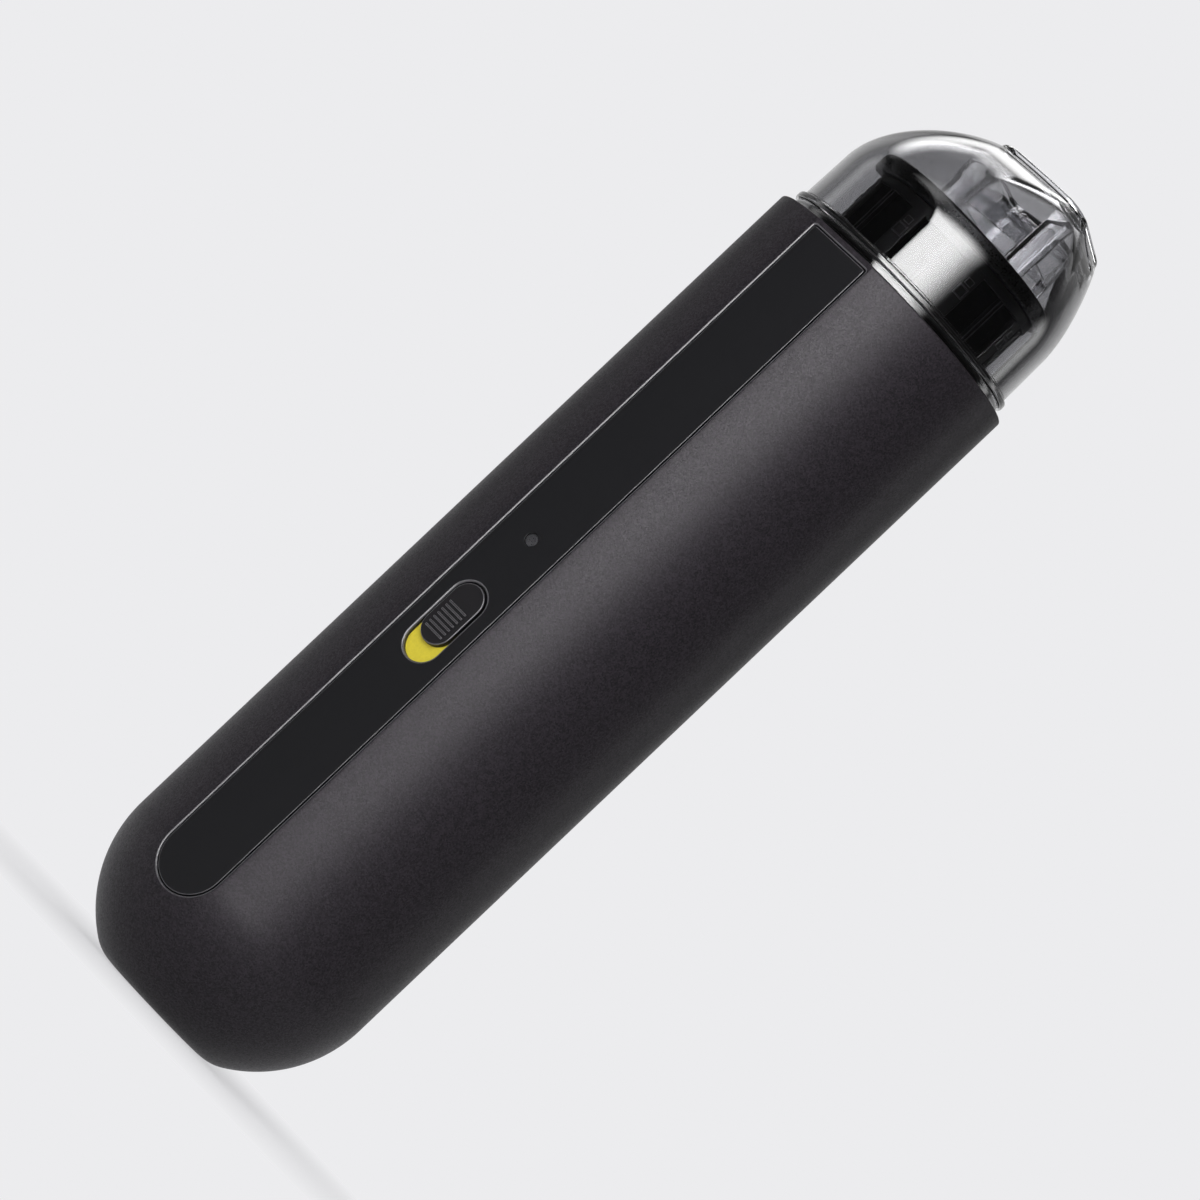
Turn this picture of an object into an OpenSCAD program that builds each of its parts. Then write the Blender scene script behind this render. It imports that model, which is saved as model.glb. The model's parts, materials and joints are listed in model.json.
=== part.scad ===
// Cordless car vacuum cleaner, standing on its flat tail.
// Millimetres. The origin is the centre of the tail face, +Z runs to the nozzle,
// and the front strip with the switch faces -Y.

/* [Body] */
// Diameter of the round body
body_d = 66; // [62:0.5:72]
// Length of the body from the tail face to its front end
body_len = 212.5; // [206:0.5:225]
// Wall of the body shell
shell_wall = 3.1; // [2.6:0.1:3.4]
// Diameter of the flat tail face
tail_flat_d = 32; // [28:0.5:36]
// Radius of the round between the tail face and the side
tail_round = 31; // [28:0.5:32]
// Thickness of the tail floor
tail_floor = 4; // [3.4:0.1:5]
// Bevel at the front edge of the body
front_bevel = 0.6; // [0.3:0.1:1]

/* [Front strip] */
// Width of the flat strip
strip_w = 17.5; // [15:0.5:19]
// Thickness of the strip
strip_t = 1.3; // [1:0.1:1.5]
// Height of the body's edge above the end of the strip
strip_margin = 1.2; // [0.8:0.1:3]
// Gap all round the strip
strip_gap = 0.15; // [0.05:0.05:0.3]
// Flat land of the body all round the strip
strip_land = 0.35; // [0.2:0.05:0.6]
// Thickness of the flat pad behind the strip
pad_t = 1.8; // [1.6:0.1:2.2]

/* [Switch] */
// Distance from the bulkhead above the cells to the switch slot
switch_gap = 4.4; // [3:0.2:10]
// Length of the switch slot
slot_len = 21; // [20:0.5:23]
// Width of the switch slot
slot_w = 9; // [8:0.5:10]
// Bevel round the slot
slot_bevel = 0.6; // [0.3:0.1:0.8]
// Length of the slider
slider_len = 16.2; // [15:0.2:17]
// Height of the slider's face above the strip
slider_proud = 0.8; // [0.4:0.1:1]
// Number of ribs on the slider
rib_count = 7; // [4:1:8]
// Distance from rib to rib
rib_pitch = 1.14; // [1:0.02:1.2]
// Length of a rib
rib_len = 5.4; // [4:0.2:6]
// Height of a rib
rib_h = 0.35; // [0.2:0.05:0.5]
// Thickness of the plates under the slider
marker_t = 0.9; // [0.7:0.1:1]
// Width of the slider's stem
stem_w = 2.8; // [2.4:0.1:3.2]
// Length of the slider's stem
stem_len = 4.4; // [4:0.2:5]
// Place of the light window between the switch slot and the motor's bulkhead, as a share
led_share = 0.465; // [0.35:0.005:0.65]
// Diameter of the light window
led_d = 2.8; // [2:0.1:3.4]

/* [Tail] */
// Diameter of the exhaust grille
grille_d = 22; // [21:0.5:24]
// Thickness of the exhaust grille
grille_t = 1.8; // [1.4:0.1:2]
// Depth of the grille's face below the tail face
grille_recess = 0.6; // [0.3:0.1:1]
// Number of exhaust slots
vent_count = 20; // [12:1:22]
// Width of an exhaust slot
vent_w = 1.1; // [0.8:0.1:1.2]
// Width of the charging socket
port_w = 8.94; // [8.5:0.02:9.4]
// Height of the charging socket
port_h = 3.26; // [3:0.02:3.6]
// Length of the charging socket
port_len = 7.3; // [6.5:0.1:7.6]
// Wall of the charging socket
port_wall = 0.3; // [0.2:0.05:0.4]

/* [Battery and boards] */
// Diameter of a cell
cell_d = 18.4; // [17.5:0.1:18.6]
// Length of a cell
cell_len = 65; // [60:0.5:66]
// Thickness of the links between the cells
link_t = 0.3; // [0.2:0.1:0.5]
// Thickness of the chassis bulkheads
bulkhead_t = 3; // [2.6:0.1:3.6]
// Thickness of the chassis rails
rail_t = 2; // [1.6:0.1:2.4]
// Thickness of the control board
board_t = 1.6; // [1.2:0.1:2]
// Width of the control board
board_w = 19; // [17:0.5:22]
// Diameter of the wires
wire_d = 1.6; // [1.2:0.1:1.8]

/* [Motor and fan] */
// Diameter of the motor
motor_d = 36; // [33:0.5:37]
// Length of the motor
motor_len = 39.2; // [38:0.2:44]
// Wall of the motor can
can_wall = 1.2; // [1:0.1:1.4]
// Thickness of the motor's rear end bell
bell_t = 4; // [3.6:0.1:5]
// Thickness of the rubber ring behind the motor
cushion_t = 2; // [1.5:0.1:3]
// Diameter of the motor shaft
shaft_d = 3.2; // [3:0.1:4]
// Diameter of the rotor core
rotor_d = 25; // [22:0.2:25.6]
// Length of the rotor core
rotor_len = 17; // [14:0.5:18]
// Diameter of the bearings
bearing_d = 10; // [9:0.5:11]
// Diameter of the fan
fan_d = 50; // [46:0.5:52]
// Height of the fan housing
fan_housing_h = 17; // [16:0.5:20]
// Wall of the fan housing
fan_wall = 2; // [1.6:0.1:2.4]
// Floor of the fan housing
fan_floor = 2.5; // [2.2:0.1:3]
// Thickness of the fan cover
fan_cover_t = 2.2; // [1.8:0.1:3]
// Diameter of the fan's inlet
fan_eye_d = 24; // [20:0.5:28]
// Number of fan blades
blade_count = 9; // [6:1:12]

/* [Dust cup] */
// Diameter of the collar's neck that carries the cup
neck_d = 55; // [54:0.2:56]
// Height of the neck above the front end of the body
neck_h = 3.5; // [3:0.1:4]
// Depth that the cup's foot goes into the body
foot_depth = 6; // [5:0.5:7]
// Diameter of the bead at the foot of the cup
bead_d = 62.3; // [61.5:0.1:64]
// Height of the bead
bead_h = 3.1; // [2.6:0.1:3.6]
// Height of the narrow step below the bead
step_h = 1.4; // [1:0.1:2]
// Diameter of the cup above the bead
cup_d = 60.4; // [60:0.1:61]
// Wall of the cup
cup_wall = 2; // [1.6:0.1:2.4]
// Distance of the cup's flat from the axis
cup_flat = 29; // [28.6:0.1:29.6]
// Height of the cup's straight wall above the body
cup_straight = 15; // [13:0.5:17]
// Height of the dome
dome_h = 25.5; // [23:0.1:30]

/* [Mouth] */
// Width of the mouth's lip
mouth_w = 29; // [28:0.5:32]
// Depth of the mouth's lip, front to back
mouth_l = 24.4; // [23.6:0.2:26]
// Distance of the mouth's middle behind the axis
mouth_back = 13.6; // [13:0.1:14]
// Corner radius of the mouth's lip
mouth_corner = 4; // [3:0.5:6]
// Height of the mouth's lip
lip_h = 1.6; // [1.2:0.1:2.4]
// Slope of the mouth down to the back, degrees
mouth_tilt = 9.5; // [6:0.5:12]
// Radius of the crown across the mouth
mouth_crown = 300; // [150:10:600]
// Width of the duct
duct_w = 24.7; // [22:0.1:25.5]
// Depth of the duct, front to back
duct_l = 20; // [17:0.5:20.5]
// Distance of the duct's middle behind the axis
duct_back = 12.4; // [12:0.1:13]
// Depth of the fins in front of the duct
fin_l = 4.3; // [3:0.1:5]
// Wall of the duct
duct_wall = 1.4; // [1.2:0.1:1.8]
// Height of the duct's windows above the filter
window_h = 6.8; // [5:0.2:7.2]
// Width of the duct's corner legs
leg_w = 4.6; // [3.6:0.2:5]

/* [Filter] */
// Diameter of the filter cage
filter_d = 46; // [44:0.2:47]
// Height of the cage above the front end of the body
filter_h = 18.5; // [16:0.5:19]
// Diameter of the filter cap
cap_d = 49; // [47.5:0.2:50]
// Thickness of the filter cap
cap_t = 3.5; // [3:0.1:3.8]
// Thickness of the filter's foot
filter_foot_t = 2.4; // [2:0.1:3]
// Thickness of the filter gasket
gasket_t = 1; // [0.8:0.1:1.4]
// Number of posts in the cage
post_count = 8; // [6:1:10]
// Number of pleats
pleat_count = 36; // [24:1:40]

/* [Hidden] */
$fn = 72;

// Clearances: pieces that are assembled, pieces that slide, and cuts that run past a face
fit = 0.1;
slide = 0.25;
loose = 0.3;
past = 1;

// Body
body_r = body_d / 2;
bore_r = body_r - shell_wall;
tail_flat_r = tail_flat_d / 2;
tail_cx = body_r - tail_round;
tail_cz = sqrt(pow(tail_round, 2) - pow(tail_flat_r - tail_cx, 2));
cavity_round = tail_round - shell_wall;
// Radius of the cavity at a height
function cavity_r(z) = z >= tail_cz ? bore_r
  : tail_cx + sqrt(pow(cavity_round, 2) - pow(tail_cz - z, 2));

// Strip: it lies on a flat that is a chord of the body
facet_y = sqrt(pow(body_r, 2) - pow(strip_w / 2 + strip_land, 2));
facet_z0 = tail_cz - sqrt(pow(tail_round, 2) - pow(facet_y - tail_cx, 2));
strip_z0 = facet_z0 + strip_land;
strip_z1 = body_len - strip_margin;
pocket_y = facet_y - strip_t - fit;
pad_y = pocket_y - pad_t;

// Tail
ledge_w = 1.2;
port_inset = 0.2;
port_back = 0.6;
ledge_z = grille_recess + grille_t;
port_z0 = grille_recess + port_inset;
port_z1 = port_z0 + port_len;
port_board_t = 1.2;
port_board_w = 15;
port_board_y = port_h / 2;

// Chassis and battery, stacked up from the tail
tail_room = 8;
tail_bulk_z = tail_floor + tail_room;
cell_z0 = tail_bulk_z + bulkhead_t + link_t;
cell_z1 = cell_z0 + cell_len;
mid_bulk_z = cell_z1 + link_t;
cell_gap = 0.8;
cell_x = (cell_d + cell_gap) / 2;
cell_y = 3;
bulkhead_r = bore_r - loose;
bulkhead_flat = pad_y - fit;

// Front group, stacked down from the body's front end
foot_z = body_len - foot_depth;
neck_top = body_len + neck_h;
neck_r = neck_d / 2;
seat_drop = 1.5;
seat_z = body_len - seat_drop;
seat_floor_t = 2.6;
flange_t = 3.5;
flange_gap = 0.5;
flange_z1 = foot_z - flange_gap;
flange_z0 = flange_z1 - flange_t;
fan_cover_z = flange_z0 - fan_cover_t;
fan_housing_z = fan_cover_z - fan_housing_h;
fan_housing_r = bore_r - loose;
motor_z1 = fan_housing_z;
motor_z0 = motor_z1 - motor_len;
motor_bulk_z = motor_z0 - cushion_t - bulkhead_t;
motor_r = motor_d / 2;
rail_gap = 1.6;
rail_x = max(motor_r, cell_x + cell_d / 2) + rail_gap;
rail_w = 12;

// Control board between the bulkheads
board_space = 4.2;
board_y = pad_y - board_space;
board_z0 = mid_bulk_z + bulkhead_t / 2;
board_z1 = motor_bulk_z + bulkhead_t / 2;

// Switch
switch_z = mid_bulk_z + bulkhead_t + switch_gap + slot_len / 2;
slider_w = slot_w - 2 * slide;
slider_travel = slot_len - slider_len - 2 * slide;
slider_z = switch_z + slider_travel / 2;
slider_face = facet_y + slider_proud;
slider_lift = 0.15;
slider_back = pocket_y + slider_lift;
rib_shift = -1.8;
rib_t = 0.6;
marker_margin = 1.2;
lever_w = 2;
lever_tip = pad_y - loose;
case_h = 3;
case_w = 6.6;
case_floor = 1;
case_face = board_y + case_h;
stem_lift = 0.2;
stem_tip = case_face + stem_lift;

// Light window
slot_end_z = switch_z + slot_len / 2;
led_z = slot_end_z + led_share * (motor_bulk_z - slot_end_z);
lens_flange_w = 0.9;
lens_flange_d = led_d + 2 * lens_flange_w;
lens_flange_t = 0.6;
led_size = 3;
led_t = 1.2;

// Motor and fan
bell_z1 = motor_z0 + bell_t;
can_inner_r = motor_r - can_wall;
air_gap = 0.7;
magnet_r = rotor_d / 2 + air_gap;
rotor_room = 8.4;
rotor_z0 = bell_z1 + rotor_room;
rotor_z1 = rotor_z0 + rotor_len;
winding_h = 3.4;
commutator_r = 4.2;
commutator_h = 4;
commutator_lift = 0.5;
commutator_z = bell_z1 + commutator_lift;
brush_size = 3;
bearing_t = 3;
boss_wall = 1.3;
boss_drop = 0.4;
boss_r = bearing_d / 2 + boss_wall;
shaft_gap = 0.6;
running_fit = 0.05;
press_gap = 0.02;
shaft_r = shaft_d / 2;
fan_r = fan_d / 2;
fan_gap = 1.5;
fan_z0 = fan_housing_z + fan_floor + fan_gap;
fan_disc_t = 1.8;
hub_drop = 3.2;
hub_r = 7;
hub_z1 = fan_cover_z - hub_drop;
nut_h = 2.4;
blade_t = 1;
motor_screw_r = 10;
motor_screw_d = 2.5;
motor_screw_head_d = 4.5;
motor_screw_head_t = 1;

// Cup
foot_bore_r = neck_r + slide;
foot_gap = 0.7;
foot_r = pocket_y - foot_gap;
bead_z0 = body_len + step_h;
bead_z1 = bead_z0 + bead_h;
cup_r = cup_d / 2;
dome_taper = 0.25;
dome_base_r = cup_r - dome_taper;
dome_z0 = body_len + cup_straight;
mouth_z = dome_z0 + dome_h;
step_w = 0.3;
step_gap = 0.2;
bead_groove = 0.3;
key_w = 3;
key_h = 1.2;
key_z1 = seat_z;
key_gap = 0.4;

// Filter
filter_r = filter_d / 2;
foot_rim = 1.5;
socket_r = filter_r + foot_rim;
foot_z0 = seat_z + gasket_t;
cage_z0 = foot_z0 + filter_foot_t;
cage_z1 = body_len + filter_h;
cap_z1 = cage_z1 + cap_t;
cage_wall = 1.6;
mesh_t = 0.5;
mesh_r = filter_r - cage_wall - mesh_t;
media_gap = 1;
media_r = mesh_r - media_gap;
pleat_depth = 5;
pleat_t = 0.7;
tab_shift = 4;
cage_band = 2.4;
post_w = 3.6;
foot_ring_w = 5;
gasket_w = 4;

// Mouth and duct
duct_corner = 2.5;
duct_front = duct_back - duct_l / 2;
leg_gap = 0.4;
leg_z0 = cap_z1 + leg_gap;
window_z = leg_z0 + window_h;

// Wires
lead_x = 7;
cell_lead_x = 6;
charge_lead_x = 2;
terminal_len = 5.6;
terminal_z = motor_z0 - terminal_len;
board_back = -board_y + board_t + fit;
board_run = 5;
// Their routes, as pairs of Y and of height above where they start or the bulkhead they pass
motor_route = [[0, 0], [0, -4], [-4, -9], [-12, -11]];
battery_route = [[1, 0], [1, 5], [-3, 10], [-12, 12]];
charge_route_low = [[-3, -2.8], [-7.5, -1], [-9.5, 4], [-9.5, 12]];
charge_route_high = [[-9.5, -12], [-10.5, -2], [-13.5, 4]];
cell_lead_y = battery_route[0][0];
charge_lead_y = charge_route_high[0][0];
charge_drop = 2.6;
charge_rise = 7;

// Helpers

// Extrudes an outline drawn in X and Z from y0 to y1
module along_y(y0, y1) {
  translate([0, y1, 0]) rotate([90, 0, 0]) linear_extrude(y1 - y0) children();
}

// A cylinder along Y, from y0 to y1
module pin_y(x, z, d, y0, y1) {
  translate([x, y1, z]) rotate([90, 0, 0]) cylinder(d = d, h = y1 - y0);
}

// A box from its two corners
module block(low, high) {
  translate(low) cube(high - low);
}

// A ring or tube
module tube(r_out, r_in, z0, z1) {
  translate([0, 0, z0]) difference() {
    cylinder(r = r_out, h = z1 - z0);
    translate([0, 0, -past]) cylinder(r = r_in, h = z1 - z0 + 2 * past);
  }
}

// A slot outline with round ends, upright
module slot_outline(w, len) {
  square([w, len - w], center = true);
  for (s = [-1, 1]) translate([0, s * (len - w) / 2]) circle(d = w);
}

// The part of a bevelled slot between two depths
module slot_bevel_cut(w, len, bevel, z) {
  run = (len - w) / 2;
  reach = bevel + fit;
  translate([0, -facet_y + bevel, z]) rotate([90, 0, 0]) {
    for (s = [-1, 1]) translate([0, s * run, 0])
      cylinder(r1 = w / 2, r2 = w / 2 + reach, h = reach);
    rotate([90, 0, 0]) translate([0, 0, -run]) linear_extrude(2 * run)
      polygon([[-w / 2, 0], [w / 2, 0], [w / 2 + reach, reach], [-w / 2 - reach, reach]]);
  }
}

// Lofts a list of closed rings that have the same number of points
module loft(rings, closed = false) {
  n = len(rings[0]);
  m = len(rings);
  last = closed ? m - 1 : m - 2;
  points = [for (ring = rings) each ring];
  sides = [for (i = [0 : last], k = [0 : n - 1])
    let (low = i * n, high = ((i + 1) % m) * n, next = (k + 1) % n,
      a = low + k, b = low + next, c = high + k, d = high + next)
    each [[a, c, b], [b, c, d]]];
  bottom = [for (k = [0 : n - 1]) k];
  top = [for (k = [n - 1 : -1 : 0]) (m - 1) * n + k];
  ends = closed ? [] : [bottom, top];
  polyhedron(points, concat(sides, ends));
}

// A round cord through a list of points, smoothed
function unit(v) = v / norm(v);
function bend_point(p, i, t) = let (
    a = p[max(i - 1, 0)], b = p[i], c = p[i + 1], d = p[min(i + 2, len(p) - 1)])
  0.5 * (2 * b + (c - a) * t + (2 * a - 5 * b + 4 * c - d) * t * t + (3 * b - a - 3 * c + d) * t * t * t);
function smooth_route(p, steps) = concat(
  [for (i = [0 : len(p) - 2], s = [0 : steps - 1]) bend_point(p, i, s / steps)], [p[len(p) - 1]]);
function cord_ring(p, i, r, sides) = let (
    along = unit(p[min(i + 1, len(p) - 1)] - p[max(i - 1, 0)]), across = [1, 0, 0], up = cross(along, across))
  [for (k = [0 : sides - 1]) let (a = 360 * k / sides) p[i] + r * (cos(a) * across + sin(a) * up)];
module cord(p, d) {
  steps = 3;
  sides = 8;
  route = smooth_route(p, steps);
  loft([for (i = [0 : len(route) - 1]) cord_ring(route, i, d / 2, sides)]);
}

// Body

module body_profile(round_r, r, z0, z1) {
  intersection() {
    translate([tail_cx, tail_cz]) circle(r = round_r);
    translate([0, z0]) square([r + past, tail_cz - z0]);
  }
  translate([0, tail_cz]) square([r, z1 - tail_cz]);
}

module strip_outline(gap) {
  w = strip_w - 2 * gap;
  translate([0, strip_z0 + strip_w / 2]) circle(d = w);
  translate([-w / 2, strip_z0 + strip_w / 2]) square([w, strip_z1 - gap - strip_z0 - strip_w / 2]);
}

module shell_blank() {
  pad_lap = 1;
  rotate_extrude() difference() {
    body_profile(tail_round, body_r, 0, body_len);
    body_profile(cavity_round, bore_r, tail_floor, body_len + past);
    square([grille_d / 2, ledge_z]);
    square([grille_d / 2 - ledge_w, tail_floor + past]);
    translate([body_r, body_len]) rotate(45) square(front_bevel * sqrt(2), center = true);
  }
  // Flat pad behind the strip
  intersection() {
    translate([0, 0, strip_z0 - pad_lap]) cylinder(r = bore_r + pad_lap, h = foot_z - flange_gap - strip_z0);
    block([-body_r, -body_r, 0], [body_r, -pad_y, body_len]);
  }
}

module body_shell() {
  color([0.2, 0.19, 0.21]) difference() {
    shell_blank();
    along_y(-body_r - past, -pocket_y) strip_outline(0);
    block([-body_r, -body_r - past, 0], [body_r, -facet_y, body_len + past]);
    // Seat and stem slot of the switch
    translate([0, 0, switch_z]) {
      along_y(-body_r, -pocket_y + marker_t + fit / 2)
        slot_outline(slot_w + 2 * marker_margin + 2 * fit, slot_len + 2 * marker_margin + 2 * fit);
      along_y(-body_r, -pad_y + past) square([stem_w + 2 * slide, stem_slot_len()], center = true);
    }
    // Seat of the light window
    pin_y(0, led_z, lens_flange_d + 2 * fit, -body_r, -pocket_y + lens_flange_t + fit);
    pin_y(0, led_z, led_d + 2 * fit, -body_r, -pad_y + past);
    // Screws into the chassis
    for (z = screw_heights()) {
      pin_y(0, z, screw_head_d + 2 * fit, -body_r, -pocket_y + screw_head_t + fit);
      pin_y(0, z, screw_d + 2 * fit, -body_r, -pad_y + past);
    }
  }
}

module front_strip() {
  color([0.14, 0.14, 0.15]) difference() {
    along_y(-facet_y, -facet_y + strip_t) strip_outline(strip_gap);
    translate([0, 0, switch_z]) along_y(-body_r, -pocket_y) slot_outline(slot_w, slot_len);
    slot_bevel_cut(slot_w, slot_len, slot_bevel, switch_z);
    pin_y(0, led_z, led_d + 2 * fit, -body_r, -pocket_y);
  }
}

module led_lens() {
  color([0.75, 0.76, 0.78]) {
    pin_y(0, led_z, led_d, -facet_y + fit, -board_y - led_t - loose);
    pin_y(0, led_z, lens_flange_d, -pocket_y + fit / 2, -pocket_y + lens_flange_t);
  }
}

// Switch

function stem_slot_len() = stem_len + slider_travel + 2 * slide;

module switch_plate() {
  translate([0, 0, switch_z]) along_y(-pocket_y, -pocket_y + marker_t) difference() {
    slot_outline(slot_w + 2 * marker_margin, slot_len + 2 * marker_margin);
    square([stem_w + 2 * slide, stem_slot_len()], center = true);
  }
}

module on_marker() {
  color([0.87, 0.8, 0.24]) difference() {
    switch_plate();
    block([-slot_w, -body_r, switch_z - fit / 2], [slot_w, 0, switch_z + slot_len]);
  }
}

module switch_guide() {
  color([0.1, 0.1, 0.11]) difference() {
    switch_plate();
    block([-slot_w, -body_r, switch_z - slot_len], [slot_w, 0, switch_z + fit / 2]);
  }
}

module switch_slider() {
  color([0.16, 0.15, 0.17]) translate([0, 0, slider_z]) {
    along_y(-slider_face, -slider_back) slot_outline(slider_w, slider_len);
    for (i = [0 : rib_count - 1]) let (z = rib_shift + (i - (rib_count - 1) / 2) * rib_pitch)
      block([-rib_len / 2, -slider_face - rib_h, z - rib_t / 2],
        [rib_len / 2, -slider_face + fit, z + rib_t / 2]);
    difference() {
      block([-stem_w / 2, -slider_back - fit, -stem_len / 2], [stem_w / 2, -stem_tip, stem_len / 2]);
      block([-stem_w, -lever_tip - fit, -lever_w / 2 - fit], [stem_w, 0, lever_w / 2 + fit]);
    }
  }
}

module switch_lever() {
  color([0.85, 0.85, 0.82]) translate([0, 0, slider_z])
    block([-lever_w / 2, -lever_tip, -lever_w / 2],
      [lever_w / 2, -board_y - case_floor - stem_lift, lever_w / 2]);
}

module slide_switch_case() {
  color([0.62, 0.63, 0.65]) translate([0, 0, switch_z]) difference() {
    block([-case_w / 2, -case_face, -slot_len / 4], [case_w / 2, -board_y, slot_len / 4]);
    block([-lever_w / 2 - fit, -case_face - past, -(slider_travel + lever_w) / 2 - fit],
      [lever_w / 2 + fit, -board_y - case_floor, (slider_travel + lever_w) / 2 + fit]);
  }
}

// Tail

module port_outline(w, h) {
  rotate(90) slot_outline(h, w);
}

module tail_grille() {
  port_margin = 1.2;
  rim_margin = 0.4;
  vent_r0 = port_w / 2 + port_margin;
  vent_r1 = grille_d / 2 - ledge_w - rim_margin;
  color([0.08, 0.08, 0.09]) translate([0, 0, grille_recess]) difference() {
    cylinder(d = grille_d - 2 * fit, h = grille_t);
    for (i = [0 : vent_count - 1]) rotate(i * 360 / vent_count)
      block([-vent_w / 2, vent_r0, -past], [vent_w / 2, vent_r1, grille_t + past]);
    translate([0, 0, -past]) linear_extrude(grille_t + 2 * past)
      port_outline(port_w + 2 * fit, port_h + 2 * fit);
  }
}

module charge_port() {
  color([0.75, 0.76, 0.78]) difference() {
    translate([0, 0, port_z0]) linear_extrude(port_len) port_outline(port_w, port_h);
    translate([0, 0, port_z0 - past]) linear_extrude(port_len - port_back + past)
      port_outline(port_w - 2 * port_wall, port_h - 2 * port_wall);
  }
}

module port_tongue() {
  tongue_t = 0.7;
  tongue_margin = 1.1;
  tongue_w = port_w - 2 * tongue_margin;
  color([0.05, 0.05, 0.05]) block([-tongue_w / 2, -tongue_t / 2, port_z0 + tongue_margin],
    [tongue_w / 2, tongue_t / 2, port_z1 - port_back]);
}

module charge_board() {
  color([0.06, 0.25, 0.14]) block([-port_board_w / 2, port_board_y, tail_floor + fit],
    [port_board_w / 2, port_board_y + port_board_t, tail_bulk_z + bulkhead_t / 2]);
}

// Chassis

screw_d = 2;
screw_head_d = 4;
screw_head_t = 1;
screw_len = 3.6;
driver_t = 0.6;
function screw_heights() = [mid_bulk_z + bulkhead_t / 2, motor_bulk_z + bulkhead_t / 2];

module bulkhead(z) {
  intersection() {
    translate([0, 0, z]) cylinder(r = bulkhead_r, h = bulkhead_t);
    block([-body_r, -bulkhead_flat, z - past], [body_r, body_r, z + bulkhead_t + past]);
  }
}

module chassis_blank() {
  tail_gap = 1;
  boss_d = screw_d + 3.4;
  translate([0, 0, tail_bulk_z]) cylinder(r = cavity_r(tail_bulk_z) - tail_gap, h = bulkhead_t);
  bulkhead(mid_bulk_z);
  bulkhead(motor_bulk_z);
  for (s = [-1, 1]) translate([s * (rail_x + rail_t / 2), 0, 0])
    block([-rail_t / 2, -rail_w / 2, tail_bulk_z], [rail_t / 2, rail_w / 2, fan_housing_z]);
  for (z = screw_heights()) pin_y(0, z, boss_d, -bulkhead_flat + loose, -board_y - board_t / 2);
}

module chassis() {
  // Seat of the motor, room round the air's way, and room round the wires
  motor_seat = 5;
  vent_side = 7;
  vent_rim = 4.2;
  vent_y0 = cell_y + cell_d / 2 + 3.4;
  wire_room = 1.5;
  charge_side = charge_lead_x + wire_d + wire_room / 2;
  color([0.16, 0.16, 0.17]) difference() {
    chassis_blank();
    // Board slots
    block([-board_w / 2 - fit, -board_y - fit, board_z0 - fit],
      [board_w / 2 + fit, -board_y + board_t + fit, board_z1 + fit]);
    block([-port_board_w / 2 - fit, port_board_y - fit, tail_bulk_z - past],
      [port_board_w / 2 + fit, port_board_y + port_board_t + fit, tail_bulk_z + bulkhead_t / 2 + fit]);
    // Screw holes
    for (z = screw_heights()) pin_y(0, z, screw_d, -body_r, -pad_y + screw_len);
    // Motor opening and the air's way past the bulkheads
    translate([0, 0, motor_bulk_z - past]) cylinder(r = motor_r - motor_seat, h = bulkhead_t + 2 * past);
    block([-rail_x + vent_side, vent_y0, tail_bulk_z + bulkhead_t + past],
      [rail_x - vent_side, bulkhead_r - vent_rim, motor_z1]);
    // Ways for the wires
    for (s = [-1, 1]) translate([s * cell_lead_x, cell_lead_y, mid_bulk_z - past])
      cylinder(d = wire_d + 2 * wire_room, h = bulkhead_t + 2 * past);
    block([-charge_side, charge_lead_y - 5 * wire_room, mid_bulk_z - past],
      [charge_side, charge_lead_y + wire_d + wire_room / 2, mid_bulk_z + bulkhead_t + past]);
    block([-charge_side, charge_lead_y - wire_d - wire_room / 2, tail_bulk_z - past],
      [charge_side, charge_lead_y + wire_d + wire_room, tail_bulk_z + bulkhead_t + past]);
  }
}

module chassis_screws() {
  color([0.55, 0.56, 0.58]) for (z = screw_heights()) difference() {
    union() {
      pin_y(0, z, screw_head_d, -pocket_y + fit / 2, -pocket_y + screw_head_t);
      pin_y(0, z, screw_d - 2 * fit, -pocket_y + screw_head_t / 2, -pad_y + screw_len - fit);
    }
    block([-screw_head_d, -body_r, z - driver_t / 2],
      [screw_head_d, -pocket_y + screw_head_t / 2, z + driver_t / 2]);
  }
}

// Battery

module battery_cell(side) {
  color([0.13, 0.32, 0.55]) translate([side * cell_x, cell_y, cell_z0]) cylinder(d = cell_d, h = cell_len);
}
module battery_cell_left() { battery_cell(-1); }
module battery_cell_right() { battery_cell(1); }

module battery_cradle() {
  cradle_t = 2;
  cradle_rise = 3;
  color([0.1, 0.1, 0.1]) difference() {
    block([-cell_x - cell_d / 2, cell_y + cradle_rise, tail_bulk_z + bulkhead_t],
      [cell_x + cell_d / 2, cell_y + cell_d / 2 + cradle_t, mid_bulk_z]);
    for (s = [-1, 1]) translate([s * cell_x, cell_y, tail_bulk_z])
      cylinder(d = cell_d + 2 * fit, h = mid_bulk_z);
  }
}

module cell_links() {
  link_w = 5.6;
  link_y = cell_y + 2;
  color([0.8, 0.8, 0.78]) {
    block([-cell_x - link_w / 2, link_y - link_w, cell_z0 - link_t], [cell_x + link_w / 2, link_y, cell_z0]);
    for (s = [-1, 1]) translate([s * cell_x, 0, 0])
      block([-link_w, link_y - link_w, cell_z1], [link_w, link_y, cell_z1 + link_t]);
  }
}

// Boards

module control_board() {
  color([0.06, 0.25, 0.14])
    block([-board_w / 2, -board_y, board_z0], [board_w / 2, -board_y + board_t, board_z1]);
}

module charge_led() {
  color([0.9, 0.9, 0.85]) translate([0, 0, led_z])
    block([-led_size / 2, -board_y - led_t, -led_size / 2], [led_size / 2, -board_y, led_size / 2]);
}

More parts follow.
